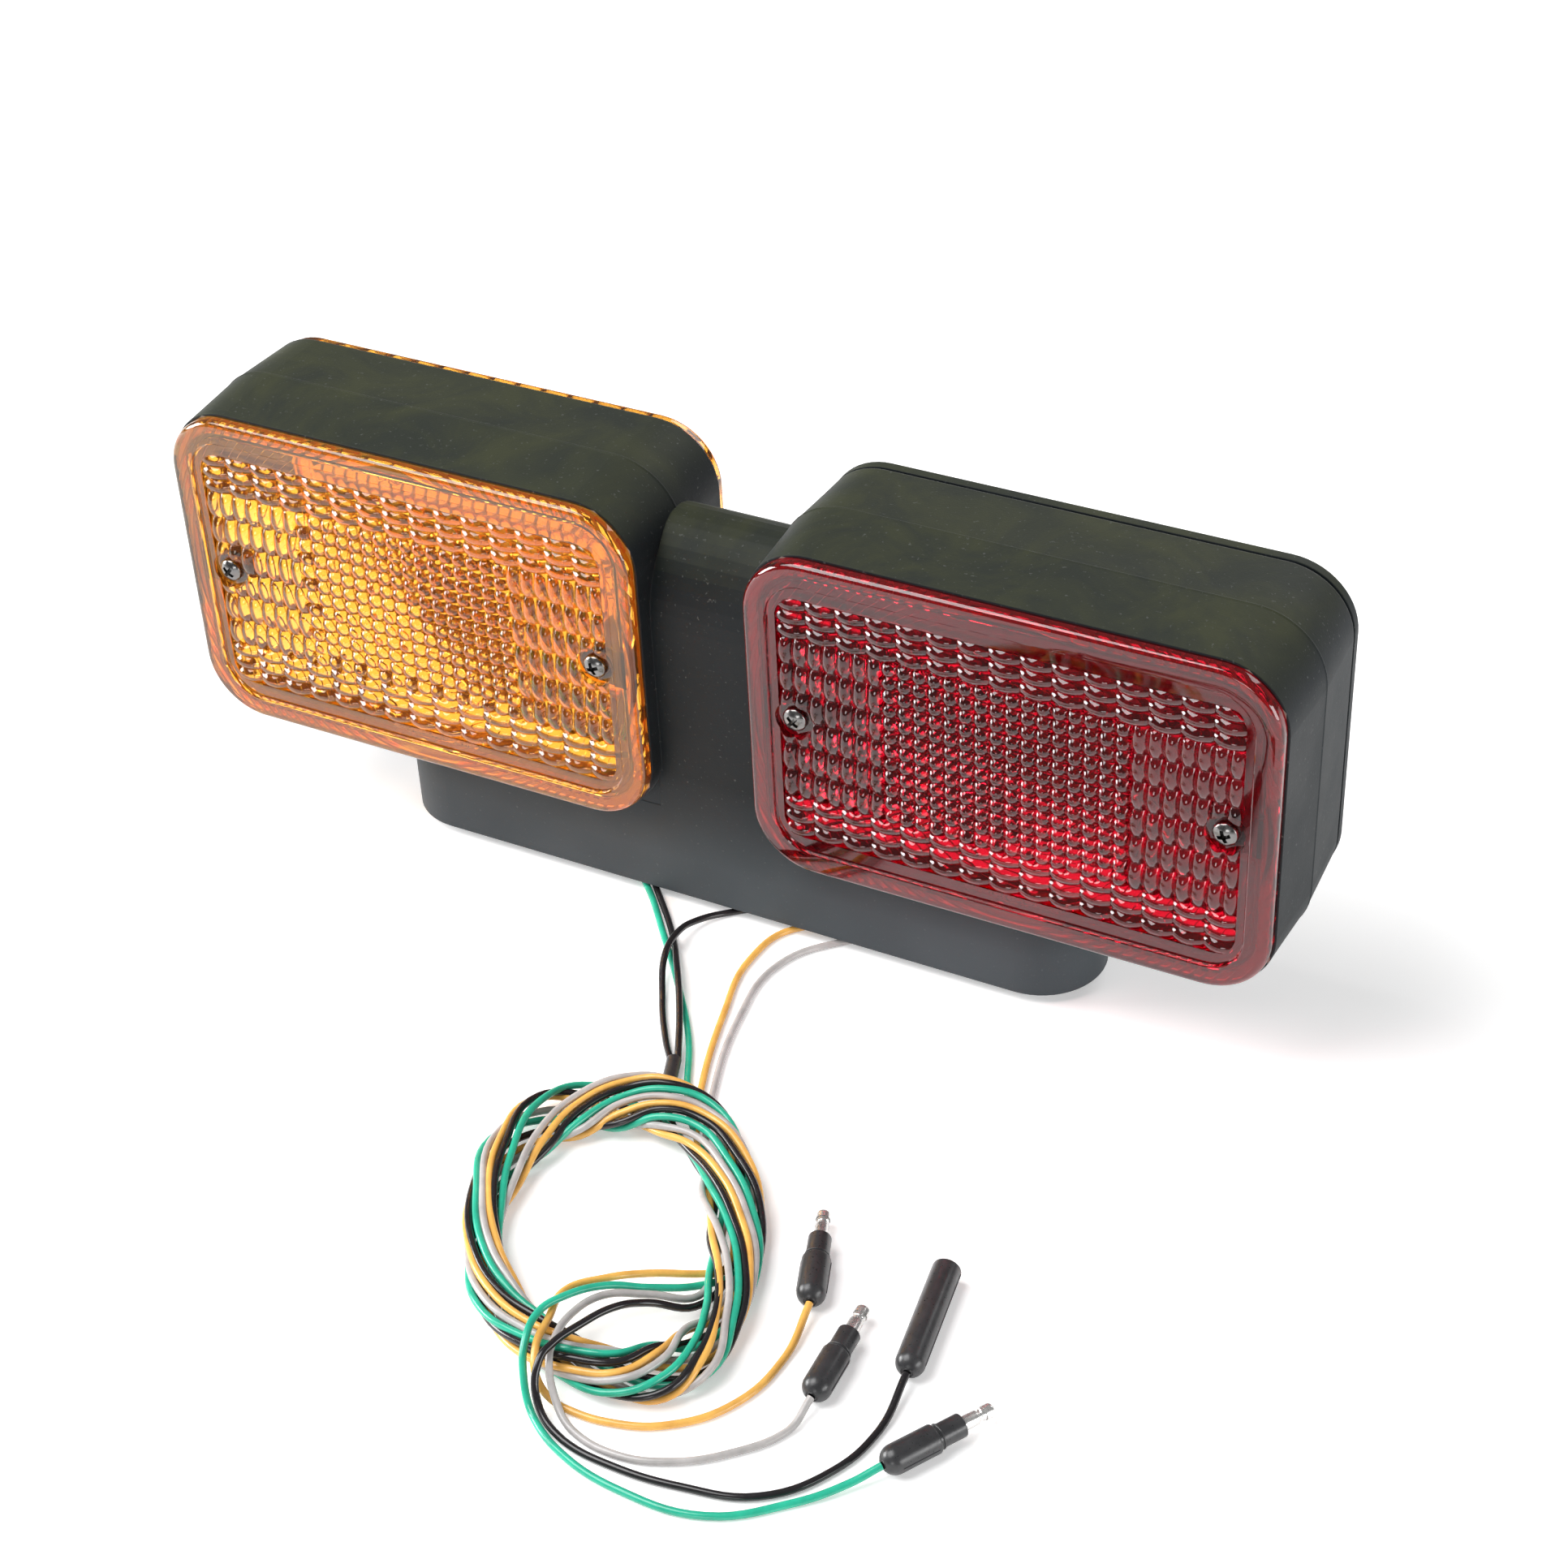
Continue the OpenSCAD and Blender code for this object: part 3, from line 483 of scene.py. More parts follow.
class Nodes:
    """Short way to build a material's node tree."""

    def __init__(self, name):
        self.material = bpy.data.materials.new(name)
        self.material.use_nodes = True
        self.tree = self.material.node_tree
        self.tree.nodes.clear()
        self.output = self.add("ShaderNodeOutputMaterial")

    def add(self, kind, links=(), **values):
        """Adds a node, sets its values, and links or sets its inputs by name or number."""
        node = self.tree.nodes.new(kind)
        for key, value in values.items():
            if key in node.bl_rna.properties:
                setattr(node, key, value)
            else:
                node.inputs[key.replace("_", " ")].default_value = value
        for key, value in dict(links).items():
            if isinstance(value, bpy.types.NodeSocket):
                self.tree.links.new(value, node.inputs[key])
            else:
                node.inputs[key].default_value = value
        return node

    def surface(self, socket):
        """Sets the material's surface."""
        self.tree.links.new(socket, self.output.inputs["Surface"])
        return self.material

    def place(self):
        """The object's own coordinates."""
        return self.add("ShaderNodeTexCoord").outputs["Object"]

    def grain(self, scale, detail, roughness, distortion=0.0):
        """A noise texture's value."""
        node = self.add(
            "ShaderNodeTexNoise", {"Vector": self.place()},
            Scale=scale, Detail=detail, Roughness=roughness, Distortion=distortion,
        )
        return node.outputs["Fac"]

    def ramp(self, fac, stops):
        """A colour ramp with stops of (position, colour)."""
        node = self.add("ShaderNodeValToRGB", {"Fac": fac})
        elements = node.color_ramp.elements
        while len(elements) < len(stops):
            elements.new(0.5)
        for element, (position, colour) in zip(elements, stops):
            element.position = position
            element.color = (*colour, 1) if len(colour) == 3 else colour
        return node.outputs["Color"]

    def spread(self, fac, low, high, to_low, to_high):
        """Maps a value from one range to another, clamped."""
        node = self.add(
            "ShaderNodeMapRange", {"Value": fac},
            From_Min=low, From_Max=high, To_Min=to_low, To_Max=to_high,
        )
        return node.outputs["Result"]

    def bump(self, height, strength, distance, normal=None):
        """A bump from a height."""
        links = {"Height": height, "Normal": normal} if normal else {"Height": height}
        node = self.add("ShaderNodeBump", links, Strength=strength, Distance=distance)
        return node.outputs["Normal"]

    def maths(self, operation, *values):
        """The outcome of one sum on sockets or numbers."""
        node = self.add("ShaderNodeMath", dict(enumerate(values)), operation=operation)
        return node.outputs[0]

    def blend(self, share, first, second):
        """A blend of two colours, each a socket or four numbers."""
        # Inputs 6 and 7 and output 2 are this node's colours
        links = {"Factor": share, 6: first, 7: second}
        return self.add("ShaderNodeMix", links, data_type="RGBA").outputs[2]

    def solid(self, colour, roughness, normal, **values):
        """Finishes the material with one opaque surface."""
        links = {"Base Color": colour, "Roughness": roughness, "Normal": normal}
        return self.surface(self.add("ShaderNodeBsdfPrincipled", links, **values).outputs[0])

    def see_through(self, shader, tint):
        """Finishes the material with a clear surface that lets tinted light through."""
        clear = self.add("ShaderNodeBsdfTransparent", Color=(*tint, 1))
        links = {
            0: self.add("ShaderNodeLightPath").outputs["Is Shadow Ray"],
            1: shader.outputs[0],
            2: clear.outputs[0],
        }
        return self.surface(self.add("ShaderNodeMixShader", links).outputs[0])


def head_mask(n, reach_x, reach_z, slant, middle_y, reach_y):
    """One within these distances of a head's middle, nought elsewhere.

    The slant limits the sum of the two distances across the face, which rounds the corners.
    """
    parts = n.add("ShaderNodeSeparateXYZ", {"Vector": n.place()}).outputs
    across, along = (n.maths("ABSOLUTE", parts[axis]) for axis in ("X", "Y"))
    far_x = n.maths("ABSOLUTE", n.maths("SUBTRACT", across, RED_X))
    far_z = n.maths("ABSOLUTE", n.maths("SUBTRACT", parts["Z"], HEAD_Z))
    corner = n.maths("ADD", far_x, far_z)
    inside = n.maths("COMPARE", along, middle_y, reach_y)
    for value, reach in ((far_x, reach_x), (far_z, reach_z), (corner, slant)):
        inside = n.maths("MULTIPLY", inside, n.maths("COMPARE", value, 0.0, reach))
    return inside


def rubber_material(name):
    """Moulded black rubber with an olive bloom on top, pale dust and scuffs. It also carries
    painted light: painted floor bounce joins the dust near the floor, there is a painted
    highlight behind the lens borders, and the rubber inside the heads is painted paler as if lit
    within.
    """
    n = Nodes(name)
    # The first colour is dust specks. The second, laid on towards the floor, is dust together
    # with painted bounce light from the floor.
    dust, dust_and_floor_bounce = (0.11, 0.115, 0.11, 1), (0.095, 0.110, 0.122, 1)
    # Painted highlight: pale colour for the rubber behind the lens borders, so that they look lit
    # like a reflection of white.
    painted_border_highlight = (0.20, 0.18, 0.155, 1)
    bloom = n.grain(26.0, 5.0, 0.62)
    speck = n.grain(850.0, 2.0, 0.5)
    cloud = n.grain(9.0, 3.0, 0.55)
    smudge = n.grain(34.0, 5.0, 0.64, distortion=0.8)
    black = n.ramp(bloom, [(0.30, (0.0032, 0.0058, 0.0074)), (0.72, (0.0080, 0.0120, 0.0145))])
    olive = n.ramp(smudge, [(0.36, (0.0170, 0.0210, 0.0150)), (0.64, (0.0320, 0.0360, 0.0165))])
    # Painted light: the pale colour given to the rubber inside the heads, as if lit within, so
    # that the lenses look bright.
    pale = n.ramp(bloom, [(0.3, (0.030, 0.030, 0.028)), (0.7, (0.11, 0.105, 0.10))])
    facing = n.add("ShaderNodeNewGeometry").outputs["Normal"]
    up = n.add("ShaderNodeSeparateXYZ", {"Vector": facing}).outputs["Z"]
    height = n.add("ShaderNodeSeparateXYZ", {"Vector": n.place()}).outputs["Z"]
    # Painted light: the rubber grows lighter towards the floor, dust together with painted floor
    # bounce.
    low = n.maths("MULTIPLY", n.spread(height, 0.050, 0.018, 0.0, 1.0), cloud)
    # The seats behind the lens borders get the painted highlight.
    lens_seats = head_mask(n, 0.0785, 0.0525, 0.1203, FACE_Y, 0.0003)
    # The hollows inside the heads get the painted light.
    hollows = head_mask(n, 0.0751, 0.0493, 0.119, 0.0, 0.0205)
    shade = n.blend(n.spread(up, 0.35, 0.9, 0.0, 1.0), black, olive)
    shade = n.blend(n.spread(speck, 0.66, 0.76, 0.0, 0.5), shade, dust)
    shade = n.blend(low, shade, dust_and_floor_bounce)
    shade = n.blend(lens_seats, shade, painted_border_highlight)
    shade = n.blend(hollows, shade, pale)
    edge = n.add("ShaderNodeBevel", samples=6, Radius=0.0007).outputs["Normal"]
    fine = n.bump(n.grain(1400.0, 3.0, 0.6), 0.35, 0.00012, edge)
    return n.solid(
        shade, n.spread(bloom, 0.3, 0.7, 0.52, 0.66),
        n.bump(n.grain(60.0, 2.0, 0.5), 0.25, 0.0006, fine),
        Specular_IOR_Level=0.22, Sheen_Weight=0.10, Sheen_Roughness=0.35,
    )


def plastic_lens_material(name, colour, deep, cloudy):
    """Coloured acrylic: clear and glossy, with a share of light scattered in its body."""
    n = Nodes(name)
    tone, ripple = n.grain(30.0, 3.0, 0.5), n.grain(55.0, 2.0, 0.5)
    grit = n.grain(700.0, 2.0, 0.5)
    plastic = n.add(
        "ShaderNodeBsdfPrincipled",
        {
            "Base Color": n.ramp(tone, [(0.3, tuple(c * 0.85 for c in colour)), (0.7, colour)]),
            "Normal": n.bump(ripple, 0.12, 0.0008),
            "Roughness": n.spread(grit, 0.4, 0.7, 0.02, 0.07),
        },
        IOR=1.49, Transmission_Weight=1 - cloudy,
        Coat_Weight=0.35, Coat_IOR=1.6, Coat_Roughness=0.02,
    )
    return n.see_through(plastic, deep)


def insulation_material(name, colour):
    """Glossy extruded insulation with faint handling marks."""
    n = Nodes(name)
    tone, rub = n.grain(160.0, 4.0, 0.6), n.grain(900.0, 3.0, 0.6)
    dark = tuple(c * 0.82 for c in colour)
    light = tuple(min(1.0, c * 1.12) for c in colour)
    return n.solid(
        n.ramp(tone, [(0.30, dark), (0.70, light)]), n.spread(rub, 0.35, 0.75, 0.13, 0.28),
        n.bump(tone, 0.10, 0.0001), IOR=1.52,
    )


def metal_material(name, colour, low, high, metallic=1.0):
    """Plain metal with fine wear that changes its tone and roughness."""
    n = Nodes(name)
    wear, cloud = n.grain(900.0, 4.0, 0.6), n.grain(108.0, 3.0, 0.6)
    return n.solid(
        n.ramp(cloud, [(0.3, tuple(c * 0.72 for c in colour)), (0.7, colour)]),
        n.spread(wear, 0.3, 0.7, low, high), n.bump(wear, 0.2, 0.00008), Metallic=metallic,
    )


def sleeve_material(name):
    """Black moulded plastic of the plug sleeves."""
    n = Nodes(name)
    tone, rub = n.grain(240.0, 4.0, 0.65), n.grain(1100.0, 3.0, 0.6)
    return n.solid(
        n.ramp(tone, [(0.35, (0.027, 0.027, 0.029)), (0.75, (0.046, 0.046, 0.048))]),
        n.spread(rub, 0.3, 0.75, 0.26, 0.40), n.bump(tone, 0.10, 0.00015), IOR=1.53,
    )


def bulb_glass_material(name):
    """Thin clear glass that lets light through."""
    n = Nodes(name)
    glass = n.add(
        "ShaderNodeBsdfPrincipled",
        {"Roughness": n.spread(n.grain(120.0, 2.0, 0.5), 0.4, 0.7, 0.0, 0.03)},
        Base_Color=(0.98, 0.98, 0.97, 1), IOR=1.45, Transmission_Weight=1.0,
    )
    return n.see_through(glass, (1, 1, 1))


def board_material(name):
    """Brown insulating board of the contact discs."""
    n = Nodes(name)
    fibre = n.grain(300.0, 5.0, 0.7)
    shade = n.ramp(fibre, [(0.3, (0.05, 0.02, 0.01)), (0.7, (0.13, 0.055, 0.025))])
    shader = n.add("ShaderNodeBsdfPrincipled", {"Base Color": shade}, Roughness=0.45)
    return n.surface(shader.outputs[0])


def floor_material(name, colour, lift):
    """Pale studio floor, lifted to white where the camera, a reflection or a lens sees it."""
    n = Nodes(name)
    matt = n.add("ShaderNodeBsdfDiffuse", Color=(*colour, 1))
    glow = n.add("ShaderNodeEmission", Strength=lift)
    dark = n.add("ShaderNodeEmission", Strength=0.0)
    ray = n.add("ShaderNodeLightPath").outputs
    mirrored = n.maths("ADD", ray["Is Glossy Ray"], ray["Is Transmission Ray"])
    seen = n.add("ShaderNodeMath", {0: ray["Is Camera Ray"], 1: mirrored}, use_clamp=True)
    links = {0: seen.outputs[0], 1: dark.outputs[0], 2: glow.outputs[0]}
    white = n.add("ShaderNodeMixShader", links)
    both = n.add("ShaderNodeAddShader", {0: matt.outputs[0], 1: white.outputs[0]})
    return n.surface(both.outputs[0])


def shared(name, make, *values):
    """A material that several steps use, made the first time it is asked for."""
    return bpy.data.materials.get(name) or make(name, *values)


def insulation(colour):
    """The insulation of a lead of this colour."""
    value = tuple(getattr(settings().leads, colour))
    return shared("insulation_" + colour, insulation_material, value)


def brass():
    """The brass of the bulb caps and the inserts."""
    return shared("turned_brass", metal_material, (0.78, 0.58, 0.28), 0.22, 0.4)


def sleeve_plastic():
    """The plastic of the plug sleeves and the splice."""
    return shared("sleeve_plastic", sleeve_material)


# ---------------------------------------------------------------- plugs


def plug_matrix(colour):
    """From a plug's own axes, z from the lead's entry to the tip, to its place on the floor."""
    (x, y), turn = PLUGS[colour]
    place = Matrix.Translation((x * MM, y * MM, settings().plugs.width / 2))
    return (
        place @ Matrix.Rotation(math.radians(turn), 4, "Z")
        @ Matrix.Rotation(math.radians(90), 4, "Y")
    )


def seam(low, high, out):
    """A fine moulding seam along both sides of a sleeve."""
    ribs = []
    for side in (-1, 1):
        rib = box("seam", (0.00035, 0.0003, high - low), (0, side * out, (low + high) / 2))
        edit_all(rib)
        bpy.ops.mesh.bevel(offset=0.0001, segments=2, affect="EDGES")
        leave()
        ribs.append(rib)
    return join(ribs, "seam")


def sleeve(name, profile, seam_end):
    """A moulded sleeve: a rounded end for its lead, the given profile, and a seam each side."""
    r, lead_r = settings().plugs.width / 2, settings().leads.diameter / 2
    end = [
        (0.0, 0.0012), (lead_r, 0.0012), (lead_r, 0.0003),
        *arc(lead_r + 0.0005, 0.0003, 0.0003, 180, 90, 4),
        *arc(0.0, r, r, -64, 0, 12),
    ]
    piece = join([spun(name, end + profile), seam(r, seam_end, r)], name)
    smooth(piece, 40)
    return piece


def bullet_sleeve(name):
    """The sleeve of a bullet plug: rounded end, thick body, ringed collar."""
    plugs = settings().plugs
    r, body, length = plugs.width / 2, plugs.body, plugs.length
    collar, bore = r - 0.0008, plugs.pin / 2 + 0.0001
    return sleeve(name, [
        *arc(r - 0.0006, body - 0.0006, 0.0006, 0, 90, 5),
        (collar, body), (collar, body + 0.0006),
        *arc(collar, body + 0.0010, 0.0003, -90, 90, 6),
        (collar, body + 0.0014),
        *arc(collar - 0.0004, length - 0.0004, 0.0004, 0, 90, 5),
        (bore, length), (bore, length - 0.002), (0.0, length - 0.002),
    ], body - 0.001)


def bullet_pin(name):
    """The rolled pin of a bullet plug: waist, round nose, open tip and rolled seam."""
    plugs = settings().plugs
    r, tip = plugs.pin / 2, plugs.length + plugs.pin_out
    waist = tip - 0.005
    low = plugs.length - 0.004
    profile = [
        (0.0, low), (r, low), (r, waist - 0.0003),
        *arc(r + 0.0002, waist + 0.0007, 0.0007, 235, 125, 8),
        *arc(r - 0.0005, waist + 0.0021, 0.0005, 60, 0, 4),
        *arc(r - 0.0012, tip - 0.0012, 0.0012, 0, 80, 8),
        (r / 3 + 0.0001, tip), (r / 3, tip - 0.0001), (r / 3, tip - 0.003), (0.0, tip - 0.003),
    ]
    pin = spun(name, profile)
    slit = box("rolled_seam", (0.0008, 0.00022, waist - low), (-r, 0, (low + waist) / 2))
    combine(pin, slit, "DIFFERENCE")
    smooth(pin, 35)
    return pin


def long_sleeve(name):
    """The long sleeve: rounded end and a deep open mouth."""
    plugs = settings().plugs
    r, length = plugs.width / 2, plugs.long_length
    mouth = plugs.pin / 2 + 0.0007
    return sleeve(name, [
        *arc(r - 0.0005, length - 0.0005, 0.0005, 0, 90, 5),
        *arc(mouth + 0.0004, length - 0.0004, 0.0004, 90, 180, 5),
        (mouth, 0.013), (0.0, 0.013),
    ], length - 0.001)


def socket_tube(name):
    """The metal tube in the long sleeve, rolled in at its mouth."""
    plugs = settings().plugs
    inner, outer = plugs.pin / 2 + 0.00001, plugs.pin / 2 + 0.00069
    low, high = 0.01301, 0.033
    profile = [
        (0.0, low), (outer, low), (outer, high - 0.0004),
        *arc(outer - 0.00034, high - 0.00034, 0.00034, 0, 180, 8),
        (inner, low + 0.003), (0.0, low + 0.003),
    ]
    tube = spun(name, profile)
    smooth(tube, 35)
    return tube


class TAILLIGHT_OT_plugs(bpy.types.Operator):
    """Moulds one bullet plug and lays its copies at the leads' ends, with the long sleeve"""

    bl_idname = "tail_light.plugs"
    bl_label = "Plugs"

    def execute(self, context):
        plastic = sleeve_plastic()
        nickel = metal_material("nickel_plate", (0.95, 0.94, 0.92), 0.18, 0.34, 0.8)
        casing, pin = bullet_sleeve("bullet_sleeve"), bullet_pin("bullet_pin")
        for colour in ("green", "orange", "grey"):
            for source, finish, slot, node in (
                (casing, plastic, "sleeve_black", "plug_sleeve"),
                (pin, nickel, "pin_nickel", "plug_pin"),
            ):
                piece = copy_of(source, f"{colour}_{source.name}", plug_matrix(colour))
                ready(piece, finish, slot, f"{colour}_{node}")
        discard(casing, pin)
        for name, make, finish, slot, node in (
            ("black_long_sleeve", long_sleeve, plastic, "sleeve_black", "black_plug_sleeve"),
            ("black_socket_tube", socket_tube, nickel, "pin_nickel", "black_plug_socket"),
        ):
            piece = make(name)
            piece.data.transform(plug_matrix("black"))
            ready(piece, finish, slot, node)
        return {"FINISHED"}


# ---------------------------------------------------------------- leads


def smooth_between(a, b, c, d, s):
    """A point of a smooth curve between b and c."""
    return b + 0.5 * s * ((c - a) + s * ((2 * a - 5 * b + 4 * c - d) + s * (3 * (b - c) + d - a)))


def outline_point(outline, u):
    """A point of a closed outline, u from 0 to 1 round it."""
    n = len(outline)
    place = (u % 1.0) * n
    i = int(place)
    four = [Vector(outline[(i + k) % n]) for k in (-1, 0, 1, 2)]
    return smooth_between(*four, place - i)


def ease(t):
    """Smooth step from 0 to 1."""
    t = max(0.0, min(1.0, t))
    return t * t * (3 - 2 * t)


def ring_place(share, half_w, half_h):
    """A point of the bundle's oval section, the share counted along its rim."""
    steps = 96
    rim = [
        Vector((half_w * math.cos(math.tau * k / steps), half_h * math.sin(math.tau * k / steps)))
        for k in range(steps + 1)
    ]
    lengths = [0.0]
    for a, b in zip(rim, rim[1:]):
        lengths.append(lengths[-1] + (b - a).length)
    want = (share % 1.0) * lengths[-1]
    for k in range(steps):
        if lengths[k + 1] >= want:
            part = (want - lengths[k]) / (lengths[k + 1] - lengths[k])
            return rim[k].lerp(rim[k + 1], part)
    return rim[-1]


def strand_place(turn, number):
    """Where strand number 0 to 3 lies in the coil after so many turns, in millimetres."""
    u = turn % 1.0
    lap = int(turn)
    # Four laps share the bundle's rim near the entry, and three where the last has ended
    place = 4 * lap + number
    crowded, onward, spread = place / 16, (place + 4) / 16, 0.01 + place / 12
    if lap == 3:
        slot = crowded
    elif u < 0.5:
        slot = crowded + (spread - crowded) * ease((u - 0.24) / 0.2)
    else:
        slot = spread + (onward - spread) * ease((u - 0.72) / 0.26)
    outer = outline_point(COIL_OUTER, u)
    inner = outline_point(COIL_INNER, u)
    across = outer - inner
    # A strand winds twice round the bundle in a turn, and sways and heaves a little
    section = ring_place(-0.055 - 2 * u - slot, across.length / 2 - 1.3, 3.25)
    sway = 1.5 * noise.noise(Vector((turn * 6.3, number * 3.7, 1.3)))
    heave = 0.7 * noise.noise(Vector((turn * 5.3, number * 5.9, 7.7)))
    flat = (outer + inner) / 2 + across.normalized() * (section.x + sway)
    lowest, middle = 1.3, LEAD_REST + 3.3
    # The bundle lies higher where the leads come in under it
    raised = 2.1 * ease(1 - abs(((u + 0.5) % 1.0) - 0.5 - 0.01) / 0.09)
    return Vector((flat.x, flat.y, max(lowest, middle + section.y + heave) + raised))


def lead_points(lead, tail, number, turns):
    """All the points of one lead: out of the light, round the coil and on to its plug."""
    points = [Vector(p) for p in lead]
    first, last, step = 0.13, turns - 0.045, 0.055
    count = round((last - first) / step)
    joined = [strand_place(first + (last - first) * k / count, number) for k in range(count + 1)]
    # Between the route and the coil, two points on the floor lead from one to the other
    reach, drift = 11, 1.5
    start = points[-1]
    onward = start + (start - points[-2]).normalized() * reach
    points.append(Vector((onward.x + drift, onward.y, LEAD_REST)))
    points.append(points[-1].lerp(joined[0], 0.55))
    points[-1].z = LEAD_REST
    return [p * MM for p in points + joined + [Vector(p) for p in tail]]


def lead_curve(name, points, radius):
    """A lead as one smooth open curve with a round section, which never dips into the floor."""
    obj = added(name, bpy.ops.curve.primitive_bezier_curve_add)
    curve = obj.data
    curve.splines.clear()
    curve.dimensions = "3D"
    spline = curve.splines.new("BEZIER")
    spline.bezier_points.add(len(points) - 1)
    for knot, point in zip(spline.bezier_points, points):
        knot.co = point
        knot.handle_left_type = knot.handle_right_type = "AUTO"
    for knot in spline.bezier_points:
        knot.handle_left_type = knot.handle_right_type = "FREE"
        for handle in (knot.handle_left, knot.handle_right):
            handle.z = max(handle.z, radius)
    curve.bevel_depth = radius
    curve.bevel_resolution = 4
    curve.resolution_u = 7
    curve.render_resolution_u = 7
    curve.use_fill_caps = True
    return obj


def lay_lead(name, colour, points, nodes):
    """Makes one lead along its points, coats it and hides the nodes that it replaces."""
    leads = settings().leads
    piece = lead_curve(name, points, leads.diameter / 2)
    ready(piece, insulation(colour), "lead_" + colour, *nodes)


class TAILLIGHT_OT_leads(bpy.types.Operator):
    """Lays the leads from the base, round the coil and out to their plugs, which come first"""

    bl_idname = "tail_light.leads"
    bl_label = "Leads"

    def execute(self, context):
        turns = settings().leads.turns
        for number, colour, lead, tail, nodes in (
            (0, "green", GREEN_LEAD, GREEN_TAIL, ("green_lead", "green_tail", "lead_coil")),
            (2, "orange", ORANGE_LEAD, ORANGE_TAIL, ("orange_lead", "orange_tail")),
            (3, "grey", GREY_LEAD, GREY_TAIL, ("grey_lead", "grey_tail")),
        ):
            points = lead_points(lead, tail, number, turns)
            lay_lead(colour + "_wire", colour, points, nodes)
        black = lead_points([(20.0, -86.5, 2.2), SPLICE_END], BLACK_TAIL, 1, turns)[1:]
        lay_lead("black_wire", "black", black, ("black_tail",))
        for side, route in (("left", BLACK_LEFT_LEAD), ("right", BLACK_RIGHT_LEAD)):
            points = [Vector(p) * MM for p in route]
            lay_lead(f"black_wire_{side}", "black", points, (f"black_lead_{side}",))
        return {"FINISHED"}


# ---------------------------------------------------------------- lenses


def ridge(along, pitch, sag):
    """Height of a row of convex ridges, zero at each crown, the rows centred on zero."""
    part = (along / pitch + 0.5) % 1.0 - 0.5
    return -sag * (2 * part) ** 2


def optic_height(x, y, lens):
    """Height of the optics: fine in the middle, tall at the sides, wide above and below."""
    cell, sag = lens.cell, lens.drop / 2
    band, side = 6 * cell, 8 * cell
    if abs(y) > band:
        return ridge(x, 2 * cell, sag) + ridge(abs(y) - band - cell / 2, cell, sag)
    if abs(x) > side:
        return ridge(abs(x) - side - cell / 2, cell, sag) + ridge(y - cell, 2 * cell, sag)
    return ridge(x - cell / 2, cell, sag) + ridge(y - cell / 2, cell, sag)


def optic_sheet(lens):
    """The whole field of optics as one fine sheet.

    Its shape is a sum of two curves at each point, which no modelling step gives, so the
    sheet is added flat and its vertices are raised one by one.
    """
    fine = 10
    obj = added("lens_optics", bpy.ops.mesh.primitive_grid_add, size=1,
                x_subdivisions=OPTIC_COLUMNS * fine, y_subdivisions=OPTIC_ROWS * fine)
    obj.scale = (OPTIC_COLUMNS * lens.cell, OPTIC_ROWS * lens.cell, 1)
    settle(obj)
    hair = lens.cell / 1000
    for vertex in obj.data.vertices:
        x, y = vertex.co.x, vertex.co.y
        vertex.co.z = min(
            optic_height(x + dx, y + dy, lens) for dx in (-hair, hair) for dy in (-hair, hair)
        )
    return obj


def ring_sheet(lens):
    """Stepped rings moulded into the back of the lens, spun as one disc."""
    inner, half_step = -lens.back, 0.00005
    profile = [(0.0, inner)]
    for k in range(1, RINGS):
        r = k * lens.ring_pitch
        profile += [(r - half_step, inner), (r + half_step, inner + lens.ring_depth)]
    return spun("lens_rings", profile, RING_STEPS)


def trim_to_outline(obj, width, height, corner):
    """Cuts a sheet to a rectangle with round corners, one straight cut at a time."""
    steps = 10
    edit(obj)
    cuts = [((width / 2, 0), (1, 0)), ((-width / 2, 0), (-1, 0)),
            ((0, height / 2), (0, 1)), ((0, -height / 2), (0, -1))]
    for sx in (-1, 1):
        for sy in (-1, 1):
            centre = Vector((sx * (width / 2 - corner), sy * (height / 2 - corner)))
            for k in range(steps):
                angle = math.pi / 2 * (k + 0.5) / steps
                out = Vector((sx * math.cos(angle), sy * math.sin(angle)))
                cuts.append((centre + out * corner, out))
    for place, out in cuts:
        bpy.ops.mesh.select_all(action="SELECT")
        bpy.ops.mesh.bisect(plane_co=(*place, 0), plane_no=(*out, 0), clear_outer=True)
    leave()
    tidy(obj, 3 * HAIR)


def rounded_plate(name, width, height, corner, steps):
    """A flat face with round corners."""
    obj = added(name, bpy.ops.mesh.primitive_plane_add, size=1)
    obj.scale = (width, height, 1)
    settle(obj)
    edit_all(obj)
    bpy.ops.mesh.bevel(offset=corner, segments=steps, affect="VERTICES", profile=0.5)
    leave()
    return obj


def round_over(radius):
    """In edit mode, rounds the rim of the selected flat face by a row of insets."""
    steps = 6
    for k in range(steps):
        a, b = (math.pi / 2 * (k + i) / steps for i in (0, 1))
        inset((radius * (math.cos(a) - math.cos(b)), radius * (math.sin(b) - math.sin(a))))


def pick_back(obj):
    """In edit mode, selects the flat back of a lens or cover."""
    pick(obj, "FACE", lambda f: f.calc_center_median().z < HAIR and f.normal.z < -0.5)


def lens_body(lens):
    """The lens round its optics: rounded edge, border, groove and the lip behind."""
    body = rounded_plate("lens_body", lens.width, lens.height, lens.corner, 14)
    edit_all(body, "FACE")
    extrude(lens.rise - lens.edge)
    round_over(lens.edge)
    bevel_in, bevel_down = 0.0003, -0.0002
    inset(
        (lens.border - lens.edge - bevel_in, 0), (bevel_in, bevel_down),
        (0.0002, -(lens.groove + 2 * bevel_down)), (bevel_in, bevel_down),
    )
    bpy.ops.mesh.delete(type="FACE")
    pick_back(body)
    lip_width, lip = 0.1492, 0.003
    inset(
        ((lens.width - lip_width) / 2, 0), (0.0002, lip),
        (0.0010, 0), (0.0002, -(lip - lens.back)),
    )
    bpy.ops.mesh.delete(type="FACE")
    leave()
    return body


def is_open(edge):
    """True for an edge that has a face on one side only."""
    return len(edge.link_faces) == 1


